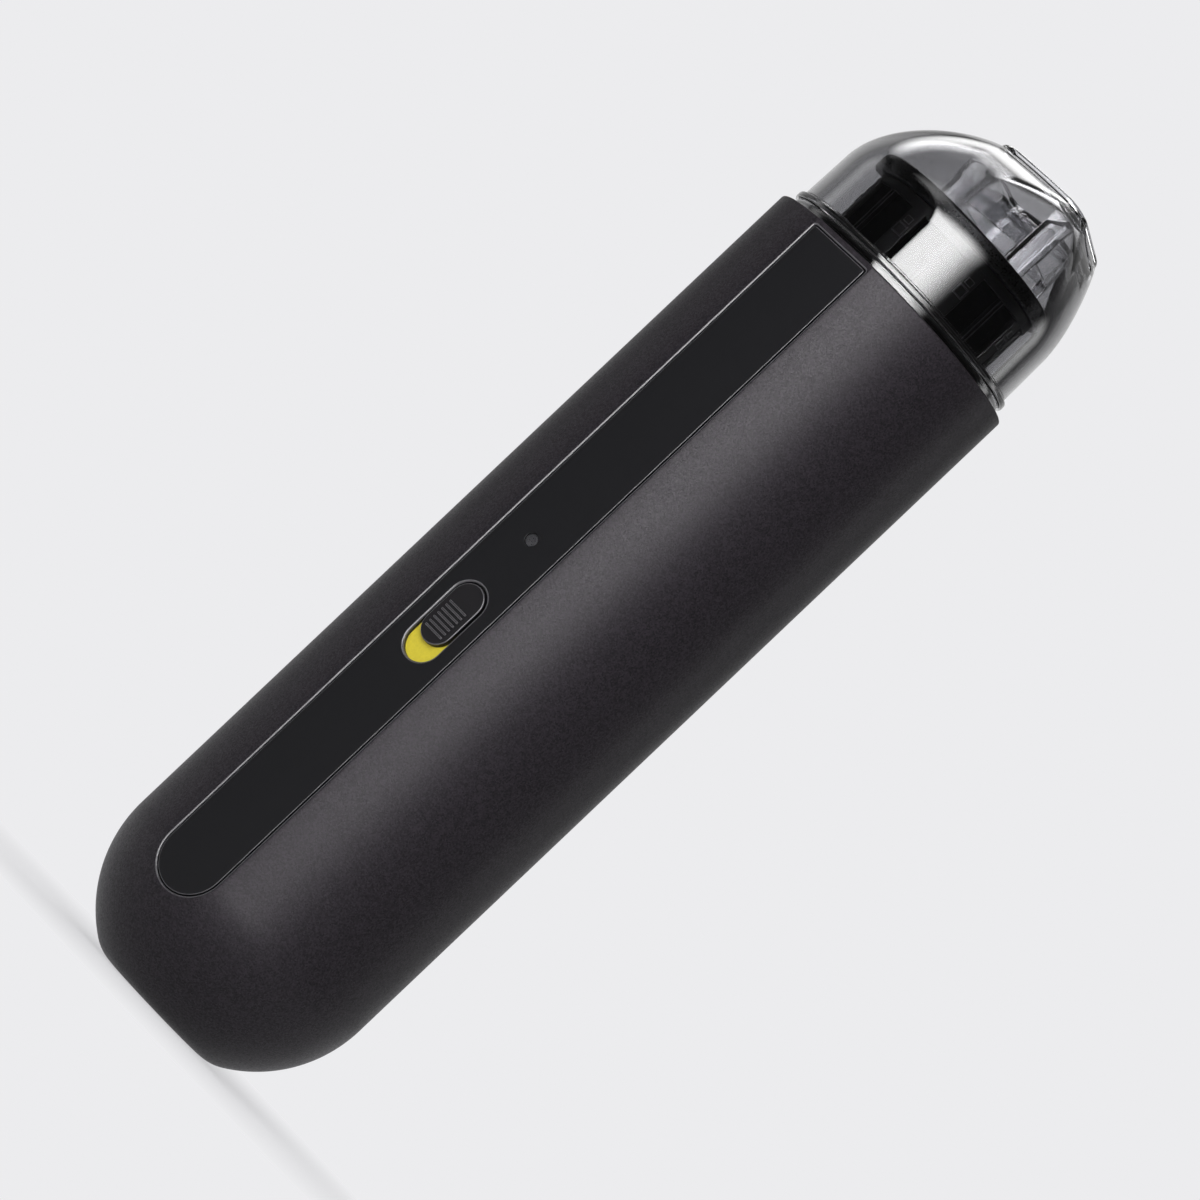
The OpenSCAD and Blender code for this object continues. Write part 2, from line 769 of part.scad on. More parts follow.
module board_parts() {
  back = -board_y + board_t;
  mid = (board_z0 + board_z1) / 2;
  chip = [8, 1.6, 8];
  coil_d = 8;
  coil_h = 6;
  diode = [3, 2.2, 5];
  diode_x = 6;
  color([0.1, 0.1, 0.1]) {
    translate([-chip[0] / 2, back, mid - chip[2] - coil_d / 4]) cube(chip);
    translate([0, back, mid + coil_d / 2]) rotate([-90, 0, 0]) cylinder(d = coil_d, h = coil_h);
    for (s = [-1, 1]) translate([s * diode_x - diode[0] / 2, back, mid - diode[0] / 2]) cube(diode);
  }
}

// Motor

module motor_can() {
  color([0.62, 0.63, 0.65]) difference() {
    union() {
      translate([0, 0, bell_z1]) cylinder(r = motor_r, h = motor_z1 - bell_z1);
      translate([0, 0, motor_z1 - fit]) cylinder(r = boss_r, h = fan_floor - boss_drop + fit);
    }
    translate([0, 0, bell_z1 - past]) cylinder(r = can_inner_r, h = motor_z1 - bell_z1 - can_wall + past);
    translate([0, 0, motor_z1 - bearing_t])
      cylinder(r = bearing_d / 2 + fit, h = bearing_t + fan_floor - 2 * boss_drop);
    translate([0, 0, motor_z1]) cylinder(r = shaft_r + shaft_gap, h = fan_floor + past);
    for (s = [-1, 1]) translate([s * motor_screw_r, 0, motor_z1 - can_wall - past])
      cylinder(d = motor_screw_d, h = can_wall + 2 * past);
  }
}

module motor_end_bell() {
  color([0.12, 0.12, 0.13]) difference() {
    translate([0, 0, motor_z0]) cylinder(r = motor_r, h = bell_t);
    translate([0, 0, motor_z0 + bell_t - bearing_t - fit])
      cylinder(r = bearing_d / 2 + fit, h = bearing_t + past);
    translate([0, 0, motor_z0 - past]) cylinder(r = shaft_r + shaft_gap, h = bell_t);
  }
}

module motor_terminals() {
  blade = [2.4, 0.8];
  color([0.75, 0.68, 0.42]) for (s = [-1, 1]) translate([s * lead_x, 0, 0])
    block([-blade[0] / 2, -blade[1] / 2, terminal_z], [blade[0] / 2, blade[1] / 2, motor_z0]);
}

module motor_magnets() {
  overhang = 2;
  pole_gap = 10;
  color([0.2, 0.2, 0.21]) difference() {
    tube(can_inner_r - fit, magnet_r, rotor_z0 - overhang, rotor_z1 + overhang);
    block([-motor_r, -pole_gap / 2, motor_z0], [motor_r, pole_gap / 2, motor_z1]);
  }
}

module carbon_brushes() {
  z = commutator_z + (commutator_h - brush_size) / 2;
  brush_len = can_inner_r - commutator_r - 2 * loose;
  color([0.15, 0.14, 0.14]) for (s = [-1, 1]) translate([s * (commutator_r + can_inner_r) / 2, 0, 0])
    block([-brush_len / 2, -brush_size / 2, bell_z1], [brush_len / 2, brush_size / 2, z + brush_size]);
}

module front_bearing() {
  color([0.7, 0.71, 0.72]) tube(bearing_d / 2, shaft_r + running_fit, motor_z1 - bearing_t + fit,
    motor_z1 + fan_floor - 3 * boss_drop);
}

module rear_bearing() {
  color([0.7, 0.71, 0.72]) tube(bearing_d / 2, shaft_r + running_fit, bell_z1 - bearing_t, bell_z1);
}

module motor_cushion() {
  cushion_w = 4;
  color([0.06, 0.06, 0.06]) tube(motor_r, motor_r - cushion_w, motor_z0 - cushion_t, motor_z0);
}

module motor_screws() {
  color([0.55, 0.56, 0.58]) for (s = [-1, 1]) translate([s * motor_screw_r, 0, 0]) {
    translate([0, 0, motor_z1 + fan_floor - motor_screw_head_t])
      cylinder(d = motor_screw_head_d, h = motor_screw_head_t);
    translate([0, 0, motor_z1 - can_wall])
      cylinder(d = motor_screw_d - 2 * fit, h = can_wall + fan_floor - motor_screw_head_t / 2);
  }
}

// Rotor and fan

module motor_shaft() {
  z0 = motor_z0 + shaft_gap;
  z1 = hub_z1 + nut_h + loose;
  color([0.7, 0.71, 0.72]) translate([0, 0, z0]) cylinder(r = shaft_r, h = z1 - z0);
}

module rotor_core() {
  slot_count = 5;
  slot_depth = 6;
  slot_t = 2;
  color([0.45, 0.45, 0.46]) difference() {
    tube(rotor_d / 2, shaft_r + press_gap, rotor_z0, rotor_z1);
    for (i = [0 : slot_count - 1]) rotate(i * 360 / slot_count)
      block([rotor_d / 2 - slot_depth, -slot_t / 2, rotor_z0 - past], [rotor_d, slot_t / 2, rotor_z1 + past]);
  }
}

module rotor_windings() {
  winding_r = rotor_d / 2 - 1;
  eye_r = commutator_r + 0.8;
  color([0.72, 0.4, 0.2]) {
    tube(winding_r, eye_r, rotor_z0 - winding_h, rotor_z0);
    tube(winding_r, eye_r, rotor_z1, rotor_z1 + winding_h);
  }
}

module commutator() {
  color([0.72, 0.4, 0.2]) tube(commutator_r, shaft_r + press_gap, commutator_z, commutator_z + commutator_h);
}

// A blade sweeps back as it goes out from the hub
function blade_edge(side) = let (r0 = hub_r - past, r1 = fan_r - loose, sweep = 52, steps = 7)
  [for (i = [0 : steps]) let (f = i / steps, r = r0 + f * (r1 - r0), half = blade_t / r * 90 / PI,
      a = -sweep * f + side * half) [r * cos(a), r * sin(a)]];
module blade_outline() {
  low = blade_edge(-1);
  high = blade_edge(1);
  polygon(concat(low, [for (i = [len(high) - 1 : -1 : 0]) high[i]]));
}

module impeller() {
  blade_z0 = fan_z0 + fan_disc_t / 2;
  blade_z1 = fan_cover_z - fan_gap;
  color([0.12, 0.12, 0.13]) difference() {
    union() {
      translate([0, 0, fan_z0]) cylinder(r = fan_r, h = fan_disc_t);
      translate([0, 0, fan_z0]) cylinder(r = hub_r, h = hub_z1 - fan_z0);
      for (i = [0 : blade_count - 1]) rotate(i * 360 / blade_count)
        translate([0, 0, blade_z0]) linear_extrude(blade_z1 - blade_z0) blade_outline();
    }
    translate([0, 0, fan_z0 - past]) cylinder(r = shaft_r + press_gap, h = fan_housing_h);
    translate([0, 0, hub_z1]) cylinder(r = hub_r, h = fan_housing_h);
  }
}

module impeller_nut() {
  nut_r = shaft_r + 1.8;
  color([0.8, 0.66, 0.3]) translate([0, 0, hub_z1]) difference() {
    cylinder(r = nut_r, h = nut_h, $fn = 6);
    translate([0, 0, -past]) cylinder(r = shaft_r + press_gap, h = nut_h + 2 * past);
  }
}

module fan_housing() {
  vent_r0 = motor_r + 0.8;
  vent_r1 = fan_housing_r - fan_wall - 1.2;
  vent_t = 3.2;
  color([0.1, 0.1, 0.11]) difference() {
    translate([0, 0, fan_housing_z]) cylinder(r = fan_housing_r, h = fan_housing_h);
    translate([0, 0, fan_housing_z + fan_floor]) cylinder(r = fan_housing_r - fan_wall, h = fan_housing_h);
    translate([0, 0, fan_housing_z - past]) cylinder(r = boss_r + fit, h = fan_floor + 2 * past);
    for (s = [-1, 1]) translate([s * motor_screw_r, 0, fan_housing_z]) {
      translate([0, 0, -past]) cylinder(d = motor_screw_d, h = fan_floor + 2 * past);
      translate([0, 0, fan_floor - motor_screw_head_t])
        cylinder(d = motor_screw_head_d + 2 * fit, h = motor_screw_head_t + past);
    }
    // Air leaves past the motor, clear of the two rails
    for (a = [45 : 15 : 135], s = [0, 180]) rotate(a + s)
      block([vent_r0, -vent_t / 2, fan_housing_z - past],
        [vent_r1, vent_t / 2, fan_housing_z + fan_floor + past]);
    // Flat that clears the pad behind the strip
    block([-body_r, -body_r, fan_housing_z - past], [body_r, -bulkhead_flat, fan_cover_z + past]);
  }
}

module front_disc(r, z0, z1) {
  intersection() {
    translate([0, 0, z0]) cylinder(r = r, h = z1 - z0);
    block([-body_r, -bulkhead_flat, z0 - past], [body_r, body_r, z1 + past]);
  }
}

module fan_cover() {
  spoke_w = 1.6;
  spoke_t = 1.2;
  eye_r = fan_eye_d / 2;
  top = fan_cover_z + fan_cover_t;
  color([0.1, 0.1, 0.11]) {
    difference() {
      front_disc(fan_housing_r, fan_cover_z, top);
      translate([0, 0, fan_cover_z - past]) cylinder(r = eye_r, h = fan_cover_t + 2 * past);
    }
    for (i = [0 : 2]) rotate(i * 60)
      block([-eye_r - past, -spoke_w / 2, top - spoke_t], [eye_r + past, spoke_w / 2, top]);
    tube((eye_r + spoke_w) / 2, (eye_r - spoke_w) / 2, top - spoke_t, top);
  }
}

// Collar and seal

seal_r = 0.8;
seal_drop = 1.7;
seal_z = neck_top - seal_drop;
groove_depth = 1.5;
groove_r = neck_r - groove_depth;

module front_collar() {
  inlet_r = filter_r - 6;
  key_root = 2;
  color([0.09, 0.09, 0.1]) {
    difference() {
      union() {
        front_disc(fan_housing_r, flange_z0, flange_z1);
        translate([0, 0, flange_z0]) cylinder(r = neck_r, h = neck_top - flange_z0);
        block([-key_w / 2, neck_r - key_root, flange_z1 - fit], [key_w / 2, neck_r + key_h, key_z1]);
      }
      translate([0, 0, seat_z]) cylinder(r = socket_r + fit, h = neck_top);
      translate([0, 0, flange_z0 - past]) cylinder(r = inlet_r, h = neck_top);
      translate([0, 0, flange_z0 - past])
        cylinder(r = socket_r, h = seat_z - seat_floor_t - flange_z0 + past);
      tube(neck_r + past, groove_r, seal_z - seal_r - fit, seal_z + seal_r + fit);
    }
  }
}

module cup_seal() {
  color([0.05, 0.05, 0.05]) rotate_extrude()
    translate([groove_r + seal_r + fit / 2, seal_z]) circle(r = seal_r);
}

// Dust cup

// Outline of a box with round corners, in points that match from ring to ring
function round_box(a, b, r, n) = [for (k = [0 : n - 1]) let (
    w = 360 * (k + 0.5) / n, cx = cos(w) >= 0 ? a - r : r - a, cy = sin(w) >= 0 ? b - r : r - b)
  [cx + r * cos(w), cy + r * sin(w)]];

// The dome turns from the round cup to the mouth's lip as f goes from 0 to 1
ring_points = 72;
dome_steps = 11;
dome_power = 1.9;
shift_power = 2.45;
least_corner = 1;
function mouth_height(x, y) = -(y - mouth_back) * tan(mouth_tilt) - x * x / (2 * mouth_crown);
function dome_ring(f, inset, drop) = let (
    s = pow(f, dome_power),
    a = dome_base_r + s * (mouth_w / 2 - dome_base_r) - inset,
    b = dome_base_r + s * (mouth_l / 2 - dome_base_r) - inset,
    r = max(dome_base_r + s * (mouth_corner - dome_base_r) - inset, least_corner),
    shift = mouth_back * pow(f, shift_power))
  [for (p = round_box(a, b, r, ring_points)) let (x = p[0], y = max(p[1] + shift, -cup_flat + inset))
    [x, y, dome_z0 + f * dome_h - drop + pow(f, shift_power) * mouth_height(x, y)]];
function wall_ring(r, z, inset) = [for (p = round_box(r - inset, r - inset, r - inset, ring_points))
  [p[0], max(p[1], -cup_flat + inset), z]];
// Outlines of the lip and the duct
function lip_outline(inset) = [for (p = round_box(mouth_w / 2 - inset, mouth_l / 2 - inset,
    max(mouth_corner - inset, least_corner), ring_points)) [p[0], p[1] + mouth_back]];
function duct_outline(inset) = [for (p = round_box(duct_w / 2 - inset, duct_l / 2 - inset,
    max(duct_corner - inset, least_corner), ring_points)) [p[0], p[1] + duct_back]];
// An outline at one height, or on the mouth's own slope and crown
function level(outline, z) = [for (p = outline) [p[0], p[1], z]];
function sloped(outline, rise) = [for (p = outline) [p[0], p[1], mouth_z + rise + mouth_height(p[0], p[1])]];

module dome_outside() {
  bead_lap = 0.6;
  loft(concat(
    [wall_ring(cup_r, bead_z1 - bead_lap, 0)],
    [for (i = [0 : dome_steps]) dome_ring(i / dome_steps, 0, 0)],
    [sloped(duct_outline(duct_wall), 0)]));
}

module dome_inside(wall) {
  loft(concat(
    [wall_ring(cup_r, bead_z1 - fit, wall)],
    [for (i = [0 : dome_steps]) let (f = i / dome_steps) dome_ring(f, wall, wall * f)],
    [sloped(duct_outline(duct_wall), -wall)]));
}

module dust_cup() {
  groove_z = bead_z1 - bead_h / 3;
  color([0.35, 0.35, 0.37, 0.5]) difference() {
    union() {
      tube(foot_r, foot_bore_r, foot_z, bead_z0);
      tube(cup_r + step_w, foot_bore_r, body_len + step_gap, bead_z0 + fit);
      tube(bead_d / 2, foot_bore_r, bead_z0, bead_z1);
      difference() {
        dome_outside();
        translate([0, 0, foot_z]) cylinder(r = foot_bore_r, h = bead_z1 - foot_z);
      }
    }
    dome_inside(cup_wall);
    translate([0, 0, window_z]) linear_extrude(mouth_z) polygon(duct_outline(-fit));
    // Fine groove round the bead
    tube(bead_d / 2 + past, bead_d / 2 - bead_groove, groove_z, groove_z + bead_groove);
    // Slot for the collar's key
    block([-key_w / 2 - slide, foot_bore_r - past, foot_z - past],
      [key_w / 2 + slide, neck_r + key_h + slide, key_z1 + key_gap]);
  }
}

module intake_duct() {
  lip_bevel = 0.5;
  lip_gap = 0.2;
  color([0.4, 0.4, 0.42, 0.5]) {
    difference() {
      loft([sloped(lip_outline(lip_gap), fit), sloped(lip_outline(lip_gap + lip_bevel), lip_h),
        sloped(duct_outline(duct_wall), lip_h), level(duct_outline(duct_wall), leg_z0),
        level(duct_outline(0), leg_z0), sloped(duct_outline(0), fit)], closed = true);
      // Windows between the corner legs
      block([-duct_w / 2 + leg_w, duct_front - past, leg_z0 - past],
        [duct_w / 2 - leg_w, duct_back + duct_l / 2 + past, window_z]);
      block([-duct_w, duct_front + leg_w, leg_z0 - past], [duct_w, duct_front + duct_l - leg_w, window_z]);
    }
    // Fins in front, up to the dome
    intersection() {
      dome_inside(cup_wall + fit);
      for (s = [-1, 1]) translate([s * (duct_w - duct_wall) / 2, 0, 0])
        block([-duct_wall / 2, duct_front - fin_l, leg_z0],
          [duct_wall / 2, duct_front + duct_corner, mouth_z]);
    }
  }
}

// Filter

module filter_frame() {
  window_w = 2 * PI * filter_r / post_count - post_w;
  color([0.1, 0.1, 0.11]) {
    tube(socket_r, filter_r - cage_wall - foot_ring_w, foot_z0, cage_z0);
    difference() {
      tube(filter_r, filter_r - cage_wall, cage_z0 - fit, cage_z1);
      for (i = [0 : post_count - 1]) rotate((i + 0.5) * 360 / post_count + tab_shift)
        block([-window_w / 2, 0, cage_z0 + cage_band], [window_w / 2, filter_r + past, cage_z1 - cage_band]);
    }
  }
}

module filter_cap() {
  tab_w = 4;
  tab_h = 3;
  color([0.03, 0.03, 0.03]) {
    translate([0, 0, cage_z1]) cylinder(d = cap_d, h = cap_t);
    // Snap tabs that reach down inside the mesh
    for (i = [0 : 3]) rotate(i * 90 + tab_shift + 22.5) intersection() {
      tube(mesh_r - 2 * fit, media_r + fit, cage_z1 - tab_h, cage_z1 + fit);
      block([-tab_w / 2, 0, cage_z1 - tab_h], [tab_w / 2, filter_r, cage_z1 + fit]);
    }
  }
}

module filter_mesh() {
  color([0.14, 0.14, 0.15])
    tube(filter_r - cage_wall - fit, mesh_r, cage_z0, cage_z1);
}

function pleat_points(shift) = [for (i = [0 : 2 * pleat_count - 1]) let (
    r = media_r - (i % 2) * pleat_depth - shift, a = 180 * i / pleat_count) [r * cos(a), r * sin(a)]];
module filter_media() {
  color([0.82, 0.82, 0.8]) translate([0, 0, cage_z0]) linear_extrude(cage_z1 - cage_z0 - fit) difference() {
    polygon(pleat_points(0));
    polygon(pleat_points(pleat_t));
  }
}

module filter_gasket() {
  color([0.05, 0.05, 0.05]) tube(socket_r, filter_r - cage_wall - gasket_w, seat_z, foot_z0);
}

// Wires, each a pair

module pair(x) {
  for (s = [-1, 1]) translate([s * x, 0, 0]) children();
}

function route(points, z) = [for (p = points) [0, p[0], z + p[1]]];
function into_board(z) = [[0, board_back + board_run, z], [0, board_back, z]];
function last_height(points) = points[len(points) - 1][1];

module motor_leads() {
  z = terminal_z - fit;
  color([0.7, 0.1, 0.1]) pair(lead_x)
    cord(concat(route(motor_route, z), into_board(z + last_height(motor_route))), wire_d);
}

module battery_leads() {
  z = mid_bulk_z + fit;
  color([0.7, 0.1, 0.1]) pair(cell_lead_x)
    cord(concat(route(battery_route, z), into_board(z + last_height(battery_route))), wire_d);
}

module charge_leads() {
  start = [0, port_board_y - fit, tail_bulk_z - charge_drop];
  color([0.1, 0.1, 0.1]) pair(charge_lead_x) cord(concat([start], route(charge_route_low, tail_bulk_z),
    route(charge_route_high, mid_bulk_z), into_board(mid_bulk_z + charge_rise)), wire_d);
}

body_shell();
front_strip();
led_lens();
on_marker();
switch_guide();
switch_slider();
switch_lever();
tail_grille();
charge_port();
port_tongue();
charge_board();
chassis();
chassis_screws();
battery_cell_left();
battery_cell_right();
battery_cradle();
cell_links();
control_board();
slide_switch_case();
charge_led();
board_parts();
motor_can();
motor_end_bell();
motor_terminals();
motor_magnets();
carbon_brushes();
front_bearing();
rear_bearing();
motor_cushion();
motor_screws();
motor_shaft();
rotor_core();
rotor_windings();
commutator();
impeller();
impeller_nut();
fan_housing();
fan_cover();
front_collar();
cup_seal();
dust_cup();
intake_duct();
filter_frame();
filter_cap();
filter_mesh();
filter_media();
filter_gasket();
motor_leads();
battery_leads();
charge_leads();
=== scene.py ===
"""Builds the visible pieces and the finishes of a hand-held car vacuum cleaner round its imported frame."""

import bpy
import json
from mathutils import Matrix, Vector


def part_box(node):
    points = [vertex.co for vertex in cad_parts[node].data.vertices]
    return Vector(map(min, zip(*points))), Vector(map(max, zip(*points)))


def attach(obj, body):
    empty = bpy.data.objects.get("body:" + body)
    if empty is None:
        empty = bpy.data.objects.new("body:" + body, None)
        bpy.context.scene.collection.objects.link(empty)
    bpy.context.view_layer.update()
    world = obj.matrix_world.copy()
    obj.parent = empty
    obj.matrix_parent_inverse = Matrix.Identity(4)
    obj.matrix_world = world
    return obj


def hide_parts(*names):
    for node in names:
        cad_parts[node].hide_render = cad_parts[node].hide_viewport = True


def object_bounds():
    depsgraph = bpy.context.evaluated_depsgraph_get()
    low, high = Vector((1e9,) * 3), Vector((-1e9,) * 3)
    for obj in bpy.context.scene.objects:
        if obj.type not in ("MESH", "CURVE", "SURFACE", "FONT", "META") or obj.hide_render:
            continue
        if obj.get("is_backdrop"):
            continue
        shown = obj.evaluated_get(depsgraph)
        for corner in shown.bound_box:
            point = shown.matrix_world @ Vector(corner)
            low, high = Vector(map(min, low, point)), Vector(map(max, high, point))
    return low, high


bl_info = {
    "name": "Car Vacuum Cleaner",
    "version": (1, 0, 0),
    "blender": (4, 5, 0),
    "location": "View3D > Sidebar > Vacuum",
    "description": "Shell, switch, clear dust cup, filter and finishes of a hand-held vacuum cleaner",
    "category": "Add Mesh",
}

import json
import math

import bmesh
import bpy
from bpy.props import FloatProperty, FloatVectorProperty, IntProperty, PointerProperty
from mathutils import Matrix, Vector

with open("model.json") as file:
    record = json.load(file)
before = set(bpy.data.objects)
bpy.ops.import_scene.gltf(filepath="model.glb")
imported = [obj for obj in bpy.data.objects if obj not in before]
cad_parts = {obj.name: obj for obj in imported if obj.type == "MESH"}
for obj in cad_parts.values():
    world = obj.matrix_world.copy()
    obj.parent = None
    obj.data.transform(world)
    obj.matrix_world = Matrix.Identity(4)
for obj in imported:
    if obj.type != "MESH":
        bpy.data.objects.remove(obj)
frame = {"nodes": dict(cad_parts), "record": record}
CAD_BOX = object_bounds()
SLOT_OF = {part["node"]: part["material_slot"] for part in frame["record"]["subparts"]}

# Places that the pieces take from the frame
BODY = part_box("body_shell")
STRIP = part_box("front_strip")
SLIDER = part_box("switch_slider")
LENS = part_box("led_lens")
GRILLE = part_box("tail_grille")
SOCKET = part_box("charge_port")
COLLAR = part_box("front_collar")
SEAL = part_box("cup_seal")
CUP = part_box("dust_cup")
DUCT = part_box("intake_duct")
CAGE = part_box("filter_frame")
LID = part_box("filter_cap")
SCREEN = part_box("filter_mesh")
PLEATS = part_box("filter_media")
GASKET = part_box("filter_gasket")
LENS_Z = (LENS[0].z + LENS[1].z) / 2
SLOT_Z = (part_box("on_marker")[0].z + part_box("switch_guide")[1].z) / 2
PLATE_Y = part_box("on_marker")[0].y
NEAR = 1e-6


# Settings that a user would change


def length(name, description, default):
    """A size in metres."""
    return FloatProperty(name=name, description=description, default=default, precision=5, unit="LENGTH")


def angle(name, description, degrees):
    """An angle, given in degrees."""
    return FloatProperty(name=name, description=description, default=math.radians(degrees), subtype="ANGLE")


def number(name, description, default):
    """A plain number."""
    return FloatProperty(name=name, description=description, default=default)


def count(name, description, default):
    """A whole number."""
    return IntProperty(name=name, description=description, default=default)


def linear(level):
    """A display level from 0 to 255 as scene-linear light."""
    share = level / 255
    return share / 12.92 if share <= 0.04045 else ((share + 0.055) / 1.055) ** 2.4


def colour(name, description, red, green, blue):
    """A colour, given in display levels from 0 to 255."""
    shade = (linear(red), linear(green), linear(blue))
    return FloatVectorProperty(
        name=name, description=description, default=shade, subtype="COLOR", min=0, max=1
    )


class BodySettings(bpy.types.PropertyGroup):
    """Sizes of the round shell."""

    radius: length("Radius", "Radius of the round body", BODY[1].x)
    height: length("Length", "From the tail face to the front rim", BODY[1].z)
    wall: length("Wall", "Thickness of the shell", 0.0031)
    tail_round: length("Tail round", "Radius between the tail face and the side", 0.031)
    tail_flat: length("Tail flat", "Radius of the flat tail face", 0.016)
    tail_edge: length("Tail edge", "Radius between the flat tail face and the tail round", 0.01)
    tail_floor: length("Tail floor", "Thickness of the tail", 0.004)
    ledge: length("Ledge", "Width of the ledge behind the grille", 0.0012)
    pad: length("Pad", "Thickness left behind the strip", 0.0018)
    rim: length("Front rim", "Rounding of the front rim", 0.0004)
    edge: length("Edges", "Rounding of the other edges", 0.00015)
    steps: count("Steps", "Faces round the body", 192)


class StripSettings(bpy.types.PropertyGroup):
    """Sizes of the strip, the switch and the light window."""

    gap: length("Gap", "Gap round the light window", 0.00015)
    inset: length("Inset", "How far the pocket's edge stands in from the strip's solid", 0.00015)
    groove: length("Groove", "Width of the groove between the strip and its pocket", 0.0003)
    edge: length("Edge", "Rounding of the strip's edge", 0.00015)
    corner: length("Corner", "Corner radius at the strip's square end", 0.0006)
    # The pocket's bevel takes the lighter edge colour, which paints its highlight line
    pocket_edge: length("Pocket edge", "Polished bevel round the strip's pocket", 0.00035)
    slot_w: length("Slot width", "Width of the switch slot", 0.009)
    slot_len: length("Slot length", "Length of the switch slot", 0.021)
    slot_edge: length("Slot edge", "Rounding of the slot's edge", 0.00045)
    plate_margin: length("Plate margin", "How far the plates reach past the slot", 0.0013)
    plate_depth: length("Plate depth", "Depth of the seat under the plates", 0.00095)
    proud: length("Slider height", "Height of the slider's face above the strip", 0.0002)
    slider_gap: length("Slider gap", "How far the slider's face stands in from its foot", 0.0002)
    slider_edge: length("Slider edge", "Rounding of the slider", 0.0002)
    ribs: count("Ribs", "Number of ribs on the slider", 7)
    rib_pitch: length("Rib pitch", "Distance from rib to rib", 0.00114)
    rib_len: length("Rib length", "Length of a rib", 0.0054)
    rib_t: length("Rib width", "Width of a rib", 0.0005)
    rib_h: length("Rib height", "Height of a rib", 0.00035)
    rib_shift: length("Rib shift", "Distance of the ribs' middle from the slider's", -0.0018)
    lens_d: length("Window", "Diameter of the light window", 0.0028)
    lens_crown: length("Window crown", "How far the light window is domed", 0.0001)
    lens_flange: length("Window flange", "Thickness of the flange that holds the window", 0.0006)


class TailSettings(bpy.types.PropertyGroup):
    """Sizes of the exhaust grille and the charging socket."""

    vents: count("Vents", "Number of exhaust slots", 20)
    vent_w: length("Vent width", "Width of an exhaust slot", 0.0011)
    vent_in: length("Vent start", "Where a slot starts, from the axis", 0.00567)
    vent_out: length("Vent end", "Where a slot ends, from the axis", 0.0094)
    port_gap: length("Socket gap", "Gap round the charging socket", 0.0001)
    port_wall: length("Socket wall", "Wall of the charging socket", 0.0003)
    edge: length("Edge", "Rounding of the grille's edges", 0.00015)


class CupSettings(bpy.types.PropertyGroup):
    """Sizes of the clear dust cup and its mouth."""

    wall: length("Wall", "Wall of the cup", 0.002)
    foot_r: length("Foot", "Radius of the foot inside the body", 0.0296)
    bore_r: length("Bore", "Radius of the foot's bore", 0.02775)
    step_r: length("Step", "Radius of the narrow step under the bead", 0.0305)
    step_z: length("Step height", "Height of the step's lower edge above the body", 0.0002)
    bead_z: length("Bead height", "Height of the bead's lower edge above the body", 0.0018)
    bead_h: length("Bead", "Height of the bead", 0.0017)
    groove: length("Groove", "Width of the grooves under and over the bead", 0.00035)
    groove_r: length("Groove radius", "Radius of the grooves", 0.0299)
    radius: length("Radius", "Radius of the wall above the bead", 0.0302)
    taper: length("Taper", "How much the wall narrows up to the dome", 0.00025)
    flat: length("Flat", "Distance of the front flat from the axis", 0.029)
    flat_soft: length("Flat's edge", "How far the flat's edge is rounded off", 0.00035)
    straight: length("Straight wall", "Height of the dome's foot above the body", 0.015)
    dome_h: length("Dome", "Height of the dome", 0.0255)
    mouth_w: length("Mouth width", "Width of the mouth's lip", 0.029)
    mouth_l: length("Mouth depth", "Depth of the mouth's lip, front to back", 0.0244)
    mouth_back: length("Mouth place", "Distance of the mouth's middle behind the axis", 0.0136)
    mouth_corner: length("Mouth corner", "Corner radius of the mouth's lip", 0.006)
    mouth_tilt: angle("Mouth slope", "Slope of the mouth down to the back", 9.5)
    mouth_crown: length("Mouth crown", "Radius of the crown across the mouth", 0.3)
    side_power: number("Side curve", "How late the sides close in", 1.9)
    back_power: number("Back curve", "How late the dome leans back", 2.45)
    bead_edge: length("Bead edge", "Rounding of the bead", 0.0005)
    edge: length("Edge", "Rounding of the step and the foot", 0.00012)
    columns: count("Columns", "Faces round the cup", 160)
    rows: count("Rows", "Faces up the dome", 40)


class DuctSettings(bpy.types.PropertyGroup):
    """Sizes of the mouth's lip and the duct under it."""

    width: length("Width", "Width of the duct", 0.0247)
    depth: length("Depth", "Depth of the duct, front to back", 0.02)
    back: length("Place", "Distance of the duct's middle behind the axis", 0.0124)
    corner: length("Corner", "Corner radius of the duct", 0.005)
    wall: length("Wall", "Wall of the duct", 0.0014)
    lip: length("Lip", "Height of the lip", 0.0014)
    lip_gap: length("Lip gap", "How far the lip stands in from the dome", 0.0002)
    lip_edge: length("Lip edge", "Rounding of the lip", 0.0012)
    seat: length("Seat", "Gap under the lip", 0.0001)
    window: length("Windows", "Height of the windows between the legs", 0.0068)
    leg: length("Legs", "Width of the corner legs", 0.0046)
    fin: length("Fins", "Depth of the fins in front", 0.0043)
    fin_drop: length("Fin top", "How far below the mouth's middle the fins end", 0.0014)
    fin_slope: length("Fin slope", "How much lower the fins end at their front", 0.0035)
    edge: length("Edge", "Rounding of legs and fins", 0.00025)


